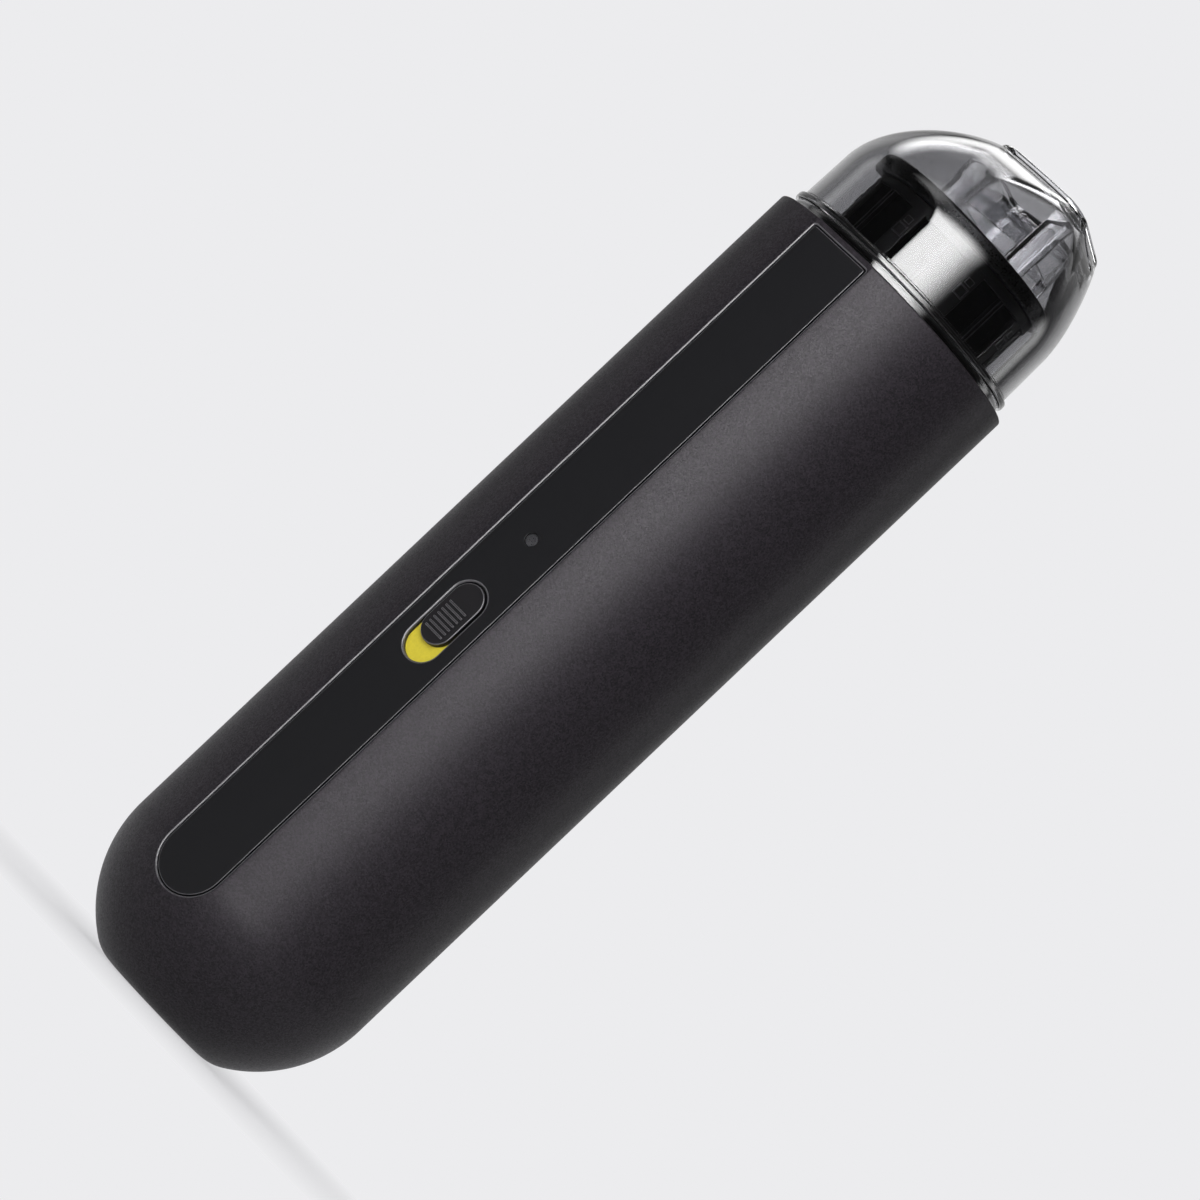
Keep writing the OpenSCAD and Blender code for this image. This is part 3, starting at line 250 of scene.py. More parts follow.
class FilterSettings(bpy.types.PropertyGroup):
    """Sizes of the filter and of the collar that it stands in."""

    radius: length("Cage", "Radius of the cage", 0.023)
    wall: length("Cage wall", "Wall of the cage", 0.0016)
    foot: length("Foot", "Thickness of the foot", 0.0024)
    foot_in: length("Foot bore", "Radius of the hole in the foot", 0.0164)
    band: length("Bands", "Height of the cage's bands", 0.0024)
    posts: count("Posts", "Number of posts", 8)
    columns: count("Columns", "Faces from post to post", 15)
    post_columns: count("Post columns", "Faces across a post", 3)
    snap: length("Snap window", "Size of the snap window on a post", 0.0026)
    snap_drop: length("Snap place", "Distance of the snap windows below the cage's top", 0.0078)
    tongue_w: length("Tongue width", "Width of the tongue over a snap window", 0.00182)
    tongue_h: length("Tongue height", "Height of the tongue over a snap window", 0.00156)
    rib_gap: length("Rib gap", "Half the distance between the two thin ribs in a window", 0.0005)
    post_turn: angle("Turn", "Angle of the first post", 94)
    cap_h: length("Cap", "Thickness of the cap", 0.0035)
    cap_edge: length("Cap edge", "Rounding of the cap", 0.0007)
    cap_rim: length("Cap rim", "Width of the flat rim round the cap's dish", 0.002)
    dish: length("Dish", "Depth of the dish in the cap", 0.0006)
    dish_slope: length("Dish slope", "Width of the slope down into the dish", 0.0004)
    screen_t: length("Screen", "Thickness of the woven screen", 0.0005)
    pleats: count("Pleats", "Number of pleats", 36)
    pleat_depth: length("Pleat depth", "Depth of a pleat", 0.005)
    pleat_t: length("Pleat thickness", "Thickness of the pleated sheet", 0.0007)
    neck_r: length("Neck", "Radius of the collar's neck", 0.0275)
    neck_in: length("Inlet", "Radius of the collar's inlet", 0.017)
    socket_r: length("Socket", "Radius of the filter's socket", 0.0246)
    flange_h: length("Flange", "Thickness of the collar's flange", 0.0035)
    seat_drop: length("Seat", "Depth of the filter's seat below the body's rim", 0.0015)
    seat_t: length("Seat thickness", "Thickness of the filter's seat", 0.0026)
    groove: length("Seal groove", "Depth of the groove for the sealing ring", 0.0015)
    groove_gap: length("Seal gap", "Gap over and under the sealing ring", 0.0001)
    key_w: length("Key width", "Width of the key on the collar's neck", 0.003)
    key_in: length("Key root", "How far the key reaches into the neck", 0.001)
    key_out: length("Key height", "How far the key stands out of the neck", 0.0012)
    edge: length("Edge", "Rounding of the edges", 0.0003)


class FinishSettings(bpy.types.PropertyGroup):
    """Colours of the finishes."""

    paint: colour("Body paint", "Matte warm grey paint of the body", 37, 34, 38)
    strip: colour("Strip", "Charcoal satin plastic of the strip", 15, 15, 17)
    slider: colour("Slider", "Plastic of the slider", 17, 16, 18)
    # A lighter colour for the rounded edges that paints their highlight lines, the same wherever the light
    # falls
    edge: colour("Edges", "Polished edges of the strip, the slot and the slider", 84, 83, 86)
    marker: colour("Marker", "Yellow plate that shows when the switch is on", 222, 205, 60)
    lens: colour("Light window", "Frosted window of the light", 66, 66, 69)
    smoke: colour("Smoke", "Tint of the clear cup", 182, 182, 184)
    clear: colour("Clear", "Tint of the clear duct", 244, 244, 246)
    black: colour("Black plastic", "Plastic of the filter, the collar and the grille", 16, 16, 17)
    screen: colour("Screen", "Woven screen of the filter", 20, 20, 22)
    pleats: colour("Pleats", "Pleated filter sheet", 206, 206, 200)
    rubber: colour("Rubber", "Sealing rings and cushions", 18, 18, 19)


class StageSettings(bpy.types.PropertyGroup):
    """Camera, light and floor."""

    azimuth: angle("Azimuth", "Direction of the camera round the object", 31.4)
    elevation: angle("Elevation", "Height of the camera above the horizon", -3)
    roll: angle("Roll", "Turn of the camera about its line of sight", 46.55)
    distance: length("Distance", "From the camera to the object", 1.5)
    view: length("View", "Width of what the camera sees at the object", 0.2514)
    aim_side: length("Aim, sideways", "Where the camera aims, right of the axis", 0.0022)
    aim_z: length("Aim, height", "Where the camera aims, above the floor", 0.1261)
    floor_r: length("Floor", "Radius of the floor", 6)
    floor_gap: length("Floor gap", "Gap under the object", 0.0001)
    fade_start: length("Fade start", "Where the floor starts to fade into the background", 0.03)
    fade_end: length("Fade end", "Where the floor looks like the background", 0.13)
    fade_least: number("Fade", "How much the floor looks like the background at the object", 0.65)
    pale: colour("Background", "Pale floor and background", 236, 236, 238)
    room_r: length("Room", "Radius of the dark room that reflections show", 2.5)
    room_dark: angle("Dark room", "How far round from the camera the room is dark", 115)
    room_glow: number("Room light", "Brightness of the dark room", 0.04)
    flag_turn: angle("Flag turn", "Angle of the dark panels from the four main directions", 15)
    flag_w: length("Flag width", "Width of the dark panels", 0.56)
    flag_h: length("Flag height", "Height of the dark panels", 2.4)
    flag_far: length("Flag distance", "Distance of the dark panels from the object", 2)
    fill: number("Fill light", "Strength of the even light from all sides", 0.1)
    key: number("Key light", "Power of the main soft box, in watts", 7.8)


class VacuumSettings(bpy.types.PropertyGroup):
    """All settings of the vacuum cleaner."""

    body: PointerProperty(type=BodySettings)
    strip: PointerProperty(type=StripSettings)
    tail: PointerProperty(type=TailSettings)
    cup: PointerProperty(type=CupSettings)
    duct: PointerProperty(type=DuctSettings)
    filter: PointerProperty(type=FilterSettings)
    finish: PointerProperty(type=FinishSettings)
    stage: PointerProperty(type=StageSettings)


def settings():
    """The scene's settings."""
    return bpy.context.scene.vacuum


def smooth(share):
    """An even change from 0 to 1 that starts and ends slowly."""
    share = min(max(share, 0), 1)
    return share * share * (3 - 2 * share)


# Finishes


def finish(name, shade, roughness, sockets=()):
    """A material with plain values on its shader's own sockets."""
    material = bpy.data.materials.new(name)
    material.use_nodes = True
    inputs = material.node_tree.nodes["Principled BSDF"].inputs
    inputs["Base Color"].default_value = (*shade, 1)
    inputs["Roughness"].default_value = roughness
    for socket, value in dict(sockets).items():
        inputs[socket].default_value = value
    return material


def add_node(holder, kind, inputs=(), **values):
    """A new node with values of its own. Its inputs get values or links from other nodes' outputs."""
    made = holder.node_tree.nodes.new(kind)
    for name, value in values.items():
        setattr(made, name, value)
    for name, value in dict(inputs).items():
        if isinstance(value, bpy.types.NodeSocket):
            holder.node_tree.links.new(value, made.inputs[name])
        else:
            made.inputs[name].default_value = value
    return made


def tint(shade, share):
    """A colour made lighter or darker by a share, as a node's colour."""
    return (*[min(level * share, 1) for level in shade], 1)


def object_place(material, stretch=(1, 1, 1)):
    """Object coordinates, stretched along the axes."""
    place = add_node(material, "ShaderNodeTexCoord").outputs["Object"]
    return add_node(material, "ShaderNodeMapping", {"Vector": place, "Scale": stretch}).outputs["Vector"]


def textured(material, contrast, depth, spread, shade_by, gloss_by, height_by):
    """Lets the outputs of a pattern change the colour, the roughness and the relief."""
    links = material.node_tree.links
    sockets = material.node_tree.nodes["Principled BSDF"].inputs
    shade = sockets["Base Color"].default_value[:3]
    # A mix node's colours are its inputs 6 and 7 and its output 2
    ends = {"Factor": shade_by, 6: tint(shade, 1 - contrast), 7: tint(shade, 1 + contrast)}
    mix = add_node(material, "ShaderNodeMix", ends, data_type="RGBA")
    links.new(mix.outputs[2], sockets["Base Color"])
    if spread:
        rough = sockets["Roughness"].default_value
        ends = {"Value": gloss_by, "To Min": rough - spread, "To Max": rough + spread}
        gloss = add_node(material, "ShaderNodeMapRange", ends)
        links.new(gloss.outputs["Result"], sockets["Roughness"])
    if depth:
        relief = {"Height": height_by, "Strength": 1.0, "Distance": depth}
        bump = add_node(material, "ShaderNodeBump", relief)
        links.new(bump.outputs["Normal"], sockets["Normal"])
    return material


def grained(material, size, contrast, depth, spread, stretch=(1, 1, 1), detail=2.0):
    """Grain of this size, on Object coordinates."""
    # The noise hardly leaves the range from 0.3 to 0.7
    grain = {"Vector": object_place(material, stretch), "Scale": 1 / size, "Detail": detail}
    noise = add_node(material, "ShaderNodeTexNoise", grain).outputs["Fac"]
    level = add_node(material, "ShaderNodeMapRange", {"Value": noise, "From Min": 0.3, "From Max": 0.7})
    even = level.outputs["Result"]
    return textured(material, contrast, depth, spread, even, even, noise)


def flaked(material, size, contrast, depth, spread):
    """Flakes of this size that differ in shade, gloss and height, on Object coordinates."""
    cells = {"Vector": object_place(material), "Scale": 1 / size, "Randomness": 1.0}
    tone = add_node(material, "ShaderNodeTexVoronoi", cells).outputs["Color"]
    flake = add_node(material, "ShaderNodeSeparateColor", {"Color": tone})
    return textured(material, contrast, depth, spread, *flake.outputs)


def woven(material, pitch, contrast, depth):
    """A plain weave of this pitch on the piece's own map."""
    place = add_node(material, "ShaderNodeTexCoord").outputs["UV"]
    # The bands of a wave texture are pi / 10 apart at scale 1
    threads = {"Vector": place, "Scale": math.pi / (10 * pitch)}
    waves = {}
    for i, direction in enumerate("XY"):
        wave = add_node(material, "ShaderNodeTexWave", threads, bands_direction=direction)
        waves[i] = wave.outputs["Fac"]
    over = add_node(material, "ShaderNodeMath", waves, operation="MAXIMUM").outputs["Value"]
    return textured(material, contrast, depth, 0, over, over, over)


# Grained finishes: colour, roughness and other sockets, then the grain as grained() takes it: size,
# contrast, depth, spread and, where they differ from the usual, stretch and detail
GRAINED = {
    "strip_plastic": ("strip", 0.38, {"Specular IOR Level": 0.18}, (0.0003, 0.06, 0.000002, 0.03)),
    "switch_plastic": ("slider", 0.42, {"Specular IOR Level": 0.18}, (0.00025, 0.08, 0.000004, 0.04)),
    # Painted highlight: the lighter colour that rounded edges take in place of their bright lines
    "painted_edge_highlight": ("edge", 0.32, {}, (0.0004, 0.08, 0.000002, 0.05)),
    "marker_yellow": ("marker", 0.45, {}, (0.0005, 0.04, 0.000003, 0.04)),
    "lens_clear": ("lens", 0.3, {"Transmission Weight": 0.35, "IOR": 1.49}, (0.0002, 0.05, 0, 0.05)),
    "cup_smoke": ("smoke", 0.012, {"Transmission Weight": 1.0, "IOR": 1.46}, (0.02, 0.03, 0, 0.006)),
    "duct_clear": (
        "clear",
        0.012,
        {"Transmission Weight": 1.0, "IOR": 1.5, "Coat Weight": 1.0, "Coat IOR": 1.9},
        (0.01, 0.03, 0, 0.006),
    ),
    "media_fabric": ("pleats", 0.9, {"Sheen Weight": 0.2}, (0.0004, 0.1, 0.00003, 0.05, (1, 1, 1), 6.0)),
    "black_rubber": ("rubber", 0.65, {}, (0.0004, 0.12, 0.000006, 0.08)),
}


def grained_finish(name):
    """One of the grained finishes."""
    shade, roughness, sockets, grain = GRAINED[name]
    return grained(finish(name, getattr(settings().finish, shade), roughness, sockets), *grain)


def body_paint():
    """Matte warm grey paint with fine flakes."""
    paint = finish("body_paint", settings().finish.paint, 0.43, {"Specular IOR Level": 0.14})
    return flaked(paint, size=0.00032, contrast=0.55, depth=0.00001, spread=0.07)


def black_plastic(name, roughness):
    """Black moulded plastic with a fine spark texture."""
    black = finish(name, settings().finish.black, roughness, {"Specular IOR Level": 0.3})
    return grained(black, size=0.00035, contrast=0.1, depth=0.000005, spread=0.06)


def woven_screen():
    """Fine black screen."""
    screen = finish("mesh_fabric", settings().finish.screen, 0.8, {"Specular IOR Level": 0.0})
    return woven(screen, pitch=0.0003, contrast=0.35, depth=0.000003)


def metal(name, shade, roughness, stretch):
    """A metal with fine drawn lines along the stretched axes."""
    drawn = finish(name, [linear(level) for level in shade], roughness, {"Metallic": 1.0})
    return grained(drawn, size=0.0006, contrast=0.1, depth=0.000003, spread=0.08, stretch=stretch)


def plain(name, shade, roughness, size=0.0006, contrast=0.12):
    """A moulded, coated or pressed part inside the body."""
    part = finish(name, [linear(level) for level in shade], roughness)
    return grained(part, size, contrast, depth=0.000006, spread=0.06)


ALONG_Z = (1, 1, 0.06)
ROUND_Z = (0.06, 0.06, 1)


def inner_finishes():
    """The finishes of the parts that stay as they are in the frame, by slot."""
    return {
        "marker_yellow": grained_finish("marker_yellow"),
        "switch_plastic": grained_finish("switch_plastic"),
        "switch_nylon": plain("switch_nylon", (214, 212, 204), 0.5),
        "inner_plastic": black_plastic("inner_plastic", 0.5),
        "steel": metal("steel", (176, 178, 182), 0.32, ALONG_Z),
        "nickel": metal("nickel", (196, 192, 182), 0.3, ROUND_Z),
        "contact_black": plain("contact_black", (20, 20, 22), 0.45),
        "board_green": plain("board_green", (24, 74, 46), 0.4, 0.0012, 0.25),
        "led_pale": plain("led_pale", (228, 226, 204), 0.3),
        "cell_sleeve": plain("cell_sleeve", (62, 96, 140), 0.34, 0.004, 0.05),
        "magnet": plain("magnet", (58, 58, 62), 0.5),
        "carbon": plain("carbon", (40, 40, 42), 0.6, 0.0003, 0.3),
        "copper": metal("copper", (196, 120, 84), 0.34, ROUND_Z),
        "nut_brass": metal("nut_brass", (206, 170, 96), 0.3, ROUND_Z),
        "black_rubber": grained_finish("black_rubber"),
        "wire_red": plain("wire_red", (170, 28, 28), 0.42),
        "wire_black": plain("wire_black", (26, 26, 28), 0.42),
    }


# Shapes


def picked(result, kind):
    """The vertices, edges or faces that an operator made."""
    return [item for item in result["geom"] if isinstance(item, kind)]


def whole(bm):
    """Everything in a shape."""
    return list(bm.verts) + list(bm.edges) + list(bm.faces)


def with_rims(faces):
    """Faces with their edges and vertices."""
    return faces + list({e for f in faces for e in f.edges}) + list({v for f in faces for v in f.verts})


def join(bm, other):
    """Adds another shape to a shape and frees it."""
    mesh = bpy.data.meshes.new("joined")
    other.to_mesh(mesh)
    other.free()
    bm.from_mesh(mesh)
    bpy.data.meshes.remove(mesh)


def arc(centre, radius, start, end, steps):
    """Points along an arc from one angle to another, in degrees."""
    angles = [math.radians(start + (end - start) * i / steps) for i in range(steps + 1)]
    return [(centre[0] + radius * math.cos(a), centre[1] + radius * math.sin(a)) for a in angles]


def slot_outline(width, height, middle=0.0, steps=24):
    """An upright slot with round ends."""
    run = (height - width) / 2
    top = arc((0, middle + run), width / 2, 0, 180, steps)
    return top + arc((0, middle - run), width / 2, 180, 360, steps)


def rectangle(width, height, middle=0.0):
    """An upright rectangle."""
    w, low, high = width / 2, middle - height / 2, middle + height / 2
    return [(-w, low), (w, low), (w, high), (-w, high)]


def circle(radius, middle=(0, 0), steps=32):
    """A full circle."""
    return arc(middle, radius, 0, 360 * (steps - 1) / steps, steps - 1)


def strip_outline(grow):
    """The strip's outline, or its pocket's when it is grown: round at the tail and square in front."""
    half = STRIP[1].x + grow
    middle = STRIP[0].z + STRIP[1].x
    corner = settings().strip.corner
    end = STRIP[1].z + grow - corner
    points = arc((0, middle), half, 180, 360, 48)
    points += arc((half - corner, end), corner, 0, 90, 4)
    return points + arc((corner - half, end), corner, 90, 180, 4)


def outline(bm, points, place):
    """Draws a closed outline and returns its edges."""
    verts = [bm.verts.new(place @ Vector((x, y, 0))) for x, y in points]
    return [bm.edges.new((verts[i - 1], verts[i])) for i in range(len(verts))]


def on_front(y):
    """Places a drawing in X and height on a plane that faces the front."""
    return Matrix(((1, 0, 0, 0), (0, 0, -1, y), (0, 1, 0, 0), (0, 0, 0, 1)))


def on_tail(z):
    """Places a drawing in X and Y on a plane that faces down."""
    return Matrix(((1, 0, 0, 0), (0, -1, 0, 0), (0, 0, -1, z), (0, 0, 0, 1)))


def pull(bm, edges, move):
    """Extrudes a loop of edges and returns the new loop."""
    made = bmesh.ops.extrude_edge_only(bm, edges=edges)
    verts = set(picked(made, bmesh.types.BMVert))
    bmesh.ops.translate(bm, verts=list(verts), vec=move)
    return [e for e in picked(made, bmesh.types.BMEdge) if set(e.verts) <= verts]


def plate(outlines, place, thickness):
    """A flat plate: the first outline is its edge and the others are holes."""
    bm = bmesh.new()
    edges = [e for points in outlines for e in outline(bm, points, place)]
    made = bmesh.ops.triangle_fill(bm, edges=edges, use_beauty=True)
    made = bmesh.ops.extrude_face_region(bm, geom=picked(made, bmesh.types.BMFace), use_keep_orig=True)
    inward = place.to_3x3() @ Vector((0, 0, -thickness))
    bmesh.ops.translate(bm, verts=picked(made, bmesh.types.BMVert), vec=inward)
    outward(bm)
    return bm


def outward(bm):
    """Turns all faces outward."""
    bmesh.ops.recalc_face_normals(bm, faces=bm.faces)


def lathe(profile, steps):
    """Turns a closed outline, given as radius and height, round the upright axis."""
    bm = bmesh.new()
    verts = [bm.verts.new((r, 0, z)) for r, z in profile]
    edges = [bm.edges.new((verts[i - 1], verts[i])) for i in range(len(verts))]
    bmesh.ops.spin(bm, geom=verts + edges, axis=(0, 0, 1), angle=math.tau, steps=steps, use_merge=True)
    bmesh.ops.remove_doubles(bm, verts=bm.verts, dist=NEAR / 10)
    bmesh.ops.delete(bm, geom=[e for e in bm.edges if not e.link_faces], context="EDGES")
    outward(bm)
    return bm


def tube(inner, outer, low, high, steps):
    """A plain tube between two radii and two heights."""
    return lathe([(inner, low), (outer, low), (outer, high), (inner, high)], steps)


def ring(radius, height):
    """A level circle, as a function of the angle."""
    return lambda turn: Vector((radius * math.cos(turn), radius * math.sin(turn), height))


def loft(rings, columns):
    """A closed skin through rings, each a function of the angle. It ends where it starts."""
    bm = bmesh.new()
    rows = len(rings)
    bmesh.ops.create_grid(bm, x_segments=columns, y_segments=rows, size=0.5)
    for vert in bm.verts:
        column, row = round((vert.co.x + 0.5) * columns), round((vert.co.y + 0.5) * rows)
        vert.co = rings[row % rows](math.tau * (column % columns + 0.5) / columns)
    bmesh.ops.remove_doubles(bm, verts=bm.verts, dist=NEAR / 10)
    outward(bm)
    return bm


def rounded_box(turn, a, b, corner):
    """Where a ray from the middle meets a box of these half sizes with round corners."""
    c, s = math.cos(turn), math.sin(turn)
    x, y = abs(c), abs(s)
    side, end = a - corner, b - corner
    if y * a <= x * end:
        reach = a / x
    elif x * b <= y * side:
        reach = b / y
    else:
        along = x * side + y * end
        reach = along + math.sqrt(along * along - side * side - end * end + corner * corner)
    return c * reach, s * reach


def block(bm, low, high):
    """Adds a box between two corners."""
    low, high = Vector(low), Vector(high)
    made = bmesh.ops.create_cube(bm, size=1)
    bmesh.ops.scale(bm, verts=made["verts"], vec=high - low)
    bmesh.ops.translate(bm, verts=made["verts"], vec=(low + high) / 2)
    return made["verts"]


def soften(bm, width, steps=3, chosen=None, least=30, second=False):
    """Rounds the outward edges sharper than least degrees, or those of them that chosen() picks.

    With second, the rounding gets the piece's second finish, which on every piece here is a lighter colour
    that paints the edge's highlight.
    """
    sharp = math.radians(least)
    edges = [e for e in bm.edges if e.is_manifold and e.is_convex and e.calc_face_angle() > sharp]
    if chosen:
        edges = [e for e in edges if chosen((e.verts[0].co + e.verts[1].co) / 2)]
    made = bmesh.ops.bevel(
        bm,
        geom=edges,
        offset=width,
        offset_type="OFFSET",
        affect="EDGES",
        segments=steps,
        profile=0.5,
        material=-1,
    )
    for face in made["faces"] if second else []:
        face.material_index = 1


def flatten(bm, y, low, high):
    """Cuts a flat at y into the inner face of a round wall between two heights."""
    sides = [f for f in bm.faces if f.normal.y > 0.02 and min(v.co.y for v in f.verts) < y]
    cut = with_rims(sides)
    for spot, facing in (((0, 0, low), (0, 0, -1)), ((0, 0, high), (0, 0, 1)), ((0, y, 0), (0, -1, 0))):
        cut = bmesh.ops.bisect_plane(bm, geom=cut, plane_co=spot, plane_no=facing, dist=NEAR / 10)["geom"]
    gone = [f for f in cut if isinstance(f, bmesh.types.BMFace)]
    gone = [f for f in gone if f.calc_center_median().y < y - NEAR / 10]
    gone = [f for f in gone if low < f.calc_center_median().z < high]
    bmesh.ops.delete(bm, geom=gone, context="FACES")
    rim = [e for e in bm.edges if e.is_boundary]
    flat = [e for e in rim if all(abs(v.co.y - y) < NEAR for v in e.verts)]
    for height in (low, high):
        shelf = [e for e in rim if e not in flat and all(abs(v.co.z - height) < NEAR for v in e.verts)]
        if shelf:
            ends = [v for e in shelf for v in e.verts if abs(v.co.y - y) < NEAR]
            flat.append(bm.edges.new(ends))
            bmesh.ops.contextual_create(bm, geom=shelf + flat[-1:])
    bmesh.ops.contextual_create(bm, geom=flat)
    outward(bm)


def add_object(name, bm, *finishes):
    """Puts a shape with its finishes into the scene."""
    mesh = bpy.data.meshes.new(name)
    bm.to_mesh(mesh)
    bm.free()
    for material in finishes:
        mesh.materials.append(material)
    made = bpy.data.objects.new(name, mesh)
    bpy.context.scene.collection.objects.link(made)
    return made


def add_piece(name, bm, body, node, *finishes, crease=35):
    """Makes a piece that stands for a node of the frame and rides on its body."""
    piece = add_object(name, bm, *finishes)
    piece.data.shade_smooth()
    piece.data.set_sharp_from_angle(angle=math.radians(crease))
    weighted = piece.modifiers.new("even_shading", "WEIGHTED_NORMAL")
    weighted.keep_sharp = True
    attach(piece, body)
    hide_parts(node)
    return piece


# Pieces


def shell_profile(body):
    """The shell's cross-section, from the bore's front edge round the tail to the front rim."""
    bore = body.radius - body.wall
    seat_r, seat_z = GRILLE[1].x + settings().tail.port_gap, GRILLE[1].z
    round_x = body.radius - body.tail_round
    round_z = math.sqrt(body.tail_round**2 - (body.tail_flat - round_x) ** 2)
    inner = body.tail_round - body.wall
    inner_end = -math.degrees(math.asin((round_z - body.tail_floor) / inner))
    edge = body.tail_edge
    edge_x = math.sqrt((body.tail_round - edge) ** 2 - (round_z - edge) ** 2)
    edge_end = -math.degrees(math.atan2(round_z - edge, edge_x))
    points = [(bore, body.height)]
    points += arc((round_x, round_z), inner, 0, inner_end, 20)
    points += [(seat_r - body.ledge, body.tail_floor), (seat_r - body.ledge, seat_z)]
    points += [(seat_r, seat_z), (seat_r, 0)]
    points += arc((round_x + edge_x, edge), edge, -90, edge_end, 8)[:-1]
    points += arc((round_x, round_z), body.tail_round, edge_end, 0, 28)
    return points + [(body.radius, body.height)]


class VACUUM_OT_body(bpy.types.Operator):
    """Build the round shell with the pocket of the strip"""

    bl_idname = "vacuum.body"
    bl_label = "Body"

    def execute(self, context):
        body, strip = settings().body, settings().strip
        bm = lathe(shell_profile(body), body.steps)
        facet = on_front(STRIP[0].y)
        bmesh.ops.bisect_plane(
            bm, geom=whole(bm), plane_co=facet.translation, plane_no=(0, -1, 0), clear_outer=True
        )
        rim = [e for e in bm.edges if e.is_boundary]
        pocket = outline(bm, strip_outline(-strip.inset), facet)
        bmesh.ops.triangle_fill(bm, edges=rim + pocket, use_beauty=True)
        floor = pull(bm, pocket, (0, PLATE_Y - STRIP[0].y, 0))
        margin = 2 * strip.plate_margin
        plates = slot_outline(strip.slot_w + margin, strip.slot_len + margin, SLOT_Z)
        seats = [outline(bm, plates, on_front(PLATE_Y))]
        seats.append(outline(bm, circle(LENS[1].x + strip.gap, (0, LENS_Z)), on_front(PLATE_Y)))
        bmesh.ops.triangle_fill(bm, edges=floor + [e for seat in seats for e in seat], use_beauty=True)
        for seat in seats:
            bmesh.ops.contextual_create(bm, geom=pull(bm, seat, (0, strip.plate_depth, 0)))
        outward(bm)
        flatten(bm, PLATE_Y + body.pad, STRIP[0].z, CUP[0].z)
        below = STRIP[1].z + strip.gap

        def pocket_edge(spot):
            return spot.y < STRIP[0].y + NEAR and spot.z < below

        def inner_edge(spot):
            return spot.y > PLATE_Y + body.pad / 2 and spot.z < below

        soften(bm, body.rim, 4, lambda spot: spot.z > body.height - body.rim)
        # The pocket's bevel gets the second finish, a lighter colour that paints its highlight line
        soften(bm, strip.pocket_edge, 2, pocket_edge, second=True)
        soften(bm, body.edge, 2, inner_edge)
        add_piece("body", bm, "handle", "body_shell", body_paint(), grained_finish("painted_edge_highlight"))
        return {"FINISHED"}


class VACUUM_OT_strip(bpy.types.Operator):
    """Build the flat strip with the switch slot and the hole of the light window"""

    bl_idname = "vacuum.strip"
    bl_label = "Strip"

    def execute(self, context):
        strip = settings().strip
        hole_r = strip.lens_d / 2 + strip.gap
        outlines = [
            strip_outline(-strip.inset - strip.groove),
            slot_outline(strip.slot_w, strip.slot_len, SLOT_Z),
            circle(hole_r, (0, LENS_Z)),
        ]
        bm = plate(outlines, on_front(STRIP[0].y), STRIP[1].y - STRIP[0].y)
        front = STRIP[0].y + strip.gap

        def near(spot, middle, reach):
            return spot.y < front and Vector((spot.x, spot.z - middle)).length < reach

        def slot_edge(spot):
            return near(spot, SLOT_Z, strip.slot_len / 2 + strip.slot_edge)

        def outer_edge(spot):
            return spot.y < front and not slot_edge(spot)

        soften(bm, strip.gap, 2, lambda spot: near(spot, LENS_Z, strip.lens_d))
        # The slot's rim and the strip's outer edge get the second finish, a lighter colour that paints
        # their highlight lines
        soften(bm, strip.slot_edge, 4, slot_edge, second=True)
        soften(bm, strip.edge, 2, outer_edge, least=60, second=True)
        finishes = [grained_finish(name) for name in ("strip_plastic", "painted_edge_highlight")]
        add_piece("strip", bm, "handle", "front_strip", *finishes)
        return {"FINISHED"}


class VACUUM_OT_switch(bpy.types.Operator):
    """Build the ribbed slider"""

    bl_idname = "vacuum.switch"
    bl_label = "Switch"

    def execute(self, context):
        strip = settings().strip
        middle = (SLIDER[0].z + SLIDER[1].z) / 2
        face = STRIP[0].y - strip.proud
        width = 2 * (SLIDER[1].x - strip.slider_gap)
        height = SLIDER[1].z - SLIDER[0].z - 2 * strip.slider_gap
        edge = slot_outline(width, height, middle, steps=32)
        bm = plate([edge], on_front(face), PLATE_Y - strip.gap - face)
        # The slider's rounded edge gets the second finish, a lighter colour that paints its highlight line
        soften(bm, strip.slider_edge, 4, lambda spot: spot.y < face + strip.gap, second=True)
        ribs = bmesh.new()
        for i in range(strip.ribs):
            z = middle + strip.rib_shift + (i - (strip.ribs - 1) / 2) * strip.rib_pitch
            half = strip.rib_len / 2
            low = (-half, face - strip.rib_h, z - strip.rib_t / 2)
            block(ribs, low, (half, face + strip.gap, z + strip.rib_t / 2))
        # The ribs' rounded edges get the same lighter colour, a painted highlight on each rib
        soften(ribs, strip.rib_t * 0.4, 3, second=True)
        join(bm, ribs)
        finishes = [grained_finish(name) for name in ("switch_plastic", "painted_edge_highlight")]
        add_piece("slider", bm, "switch", "switch_slider", *finishes)
        return {"FINISHED"}


class VACUUM_OT_light(bpy.types.Operator):
    """Build the domed light window"""

    bl_idname = "vacuum.light"
    bl_label = "Light window"

    def execute(self, context):
        strip = settings().strip
        radius, flange = strip.lens_d / 2, LENS[1].x
        back, front = -LENS[1].y, -LENS[0].y
        seat = -PLATE_Y
        behind = seat - strip.lens_flange
        crown = strip.lens_crown
        profile = [(0, back), (radius, back), (radius, behind), (flange, behind), (flange, seat)]
        profile += [(radius, seat), (radius, front - crown), (radius * 0.7, front - crown * 0.4)]
        profile.append((0, front))
        bm = lathe(profile, steps=48)
        bmesh.ops.rotate(bm, verts=bm.verts, matrix=Matrix.Rotation(math.radians(90), 3, "X"))
        bmesh.ops.translate(bm, verts=bm.verts, vec=(0, 0, LENS_Z))
        add_piece("light_window", bm, "handle", "led_lens", grained_finish("lens_clear"))
        return {"FINISHED"}


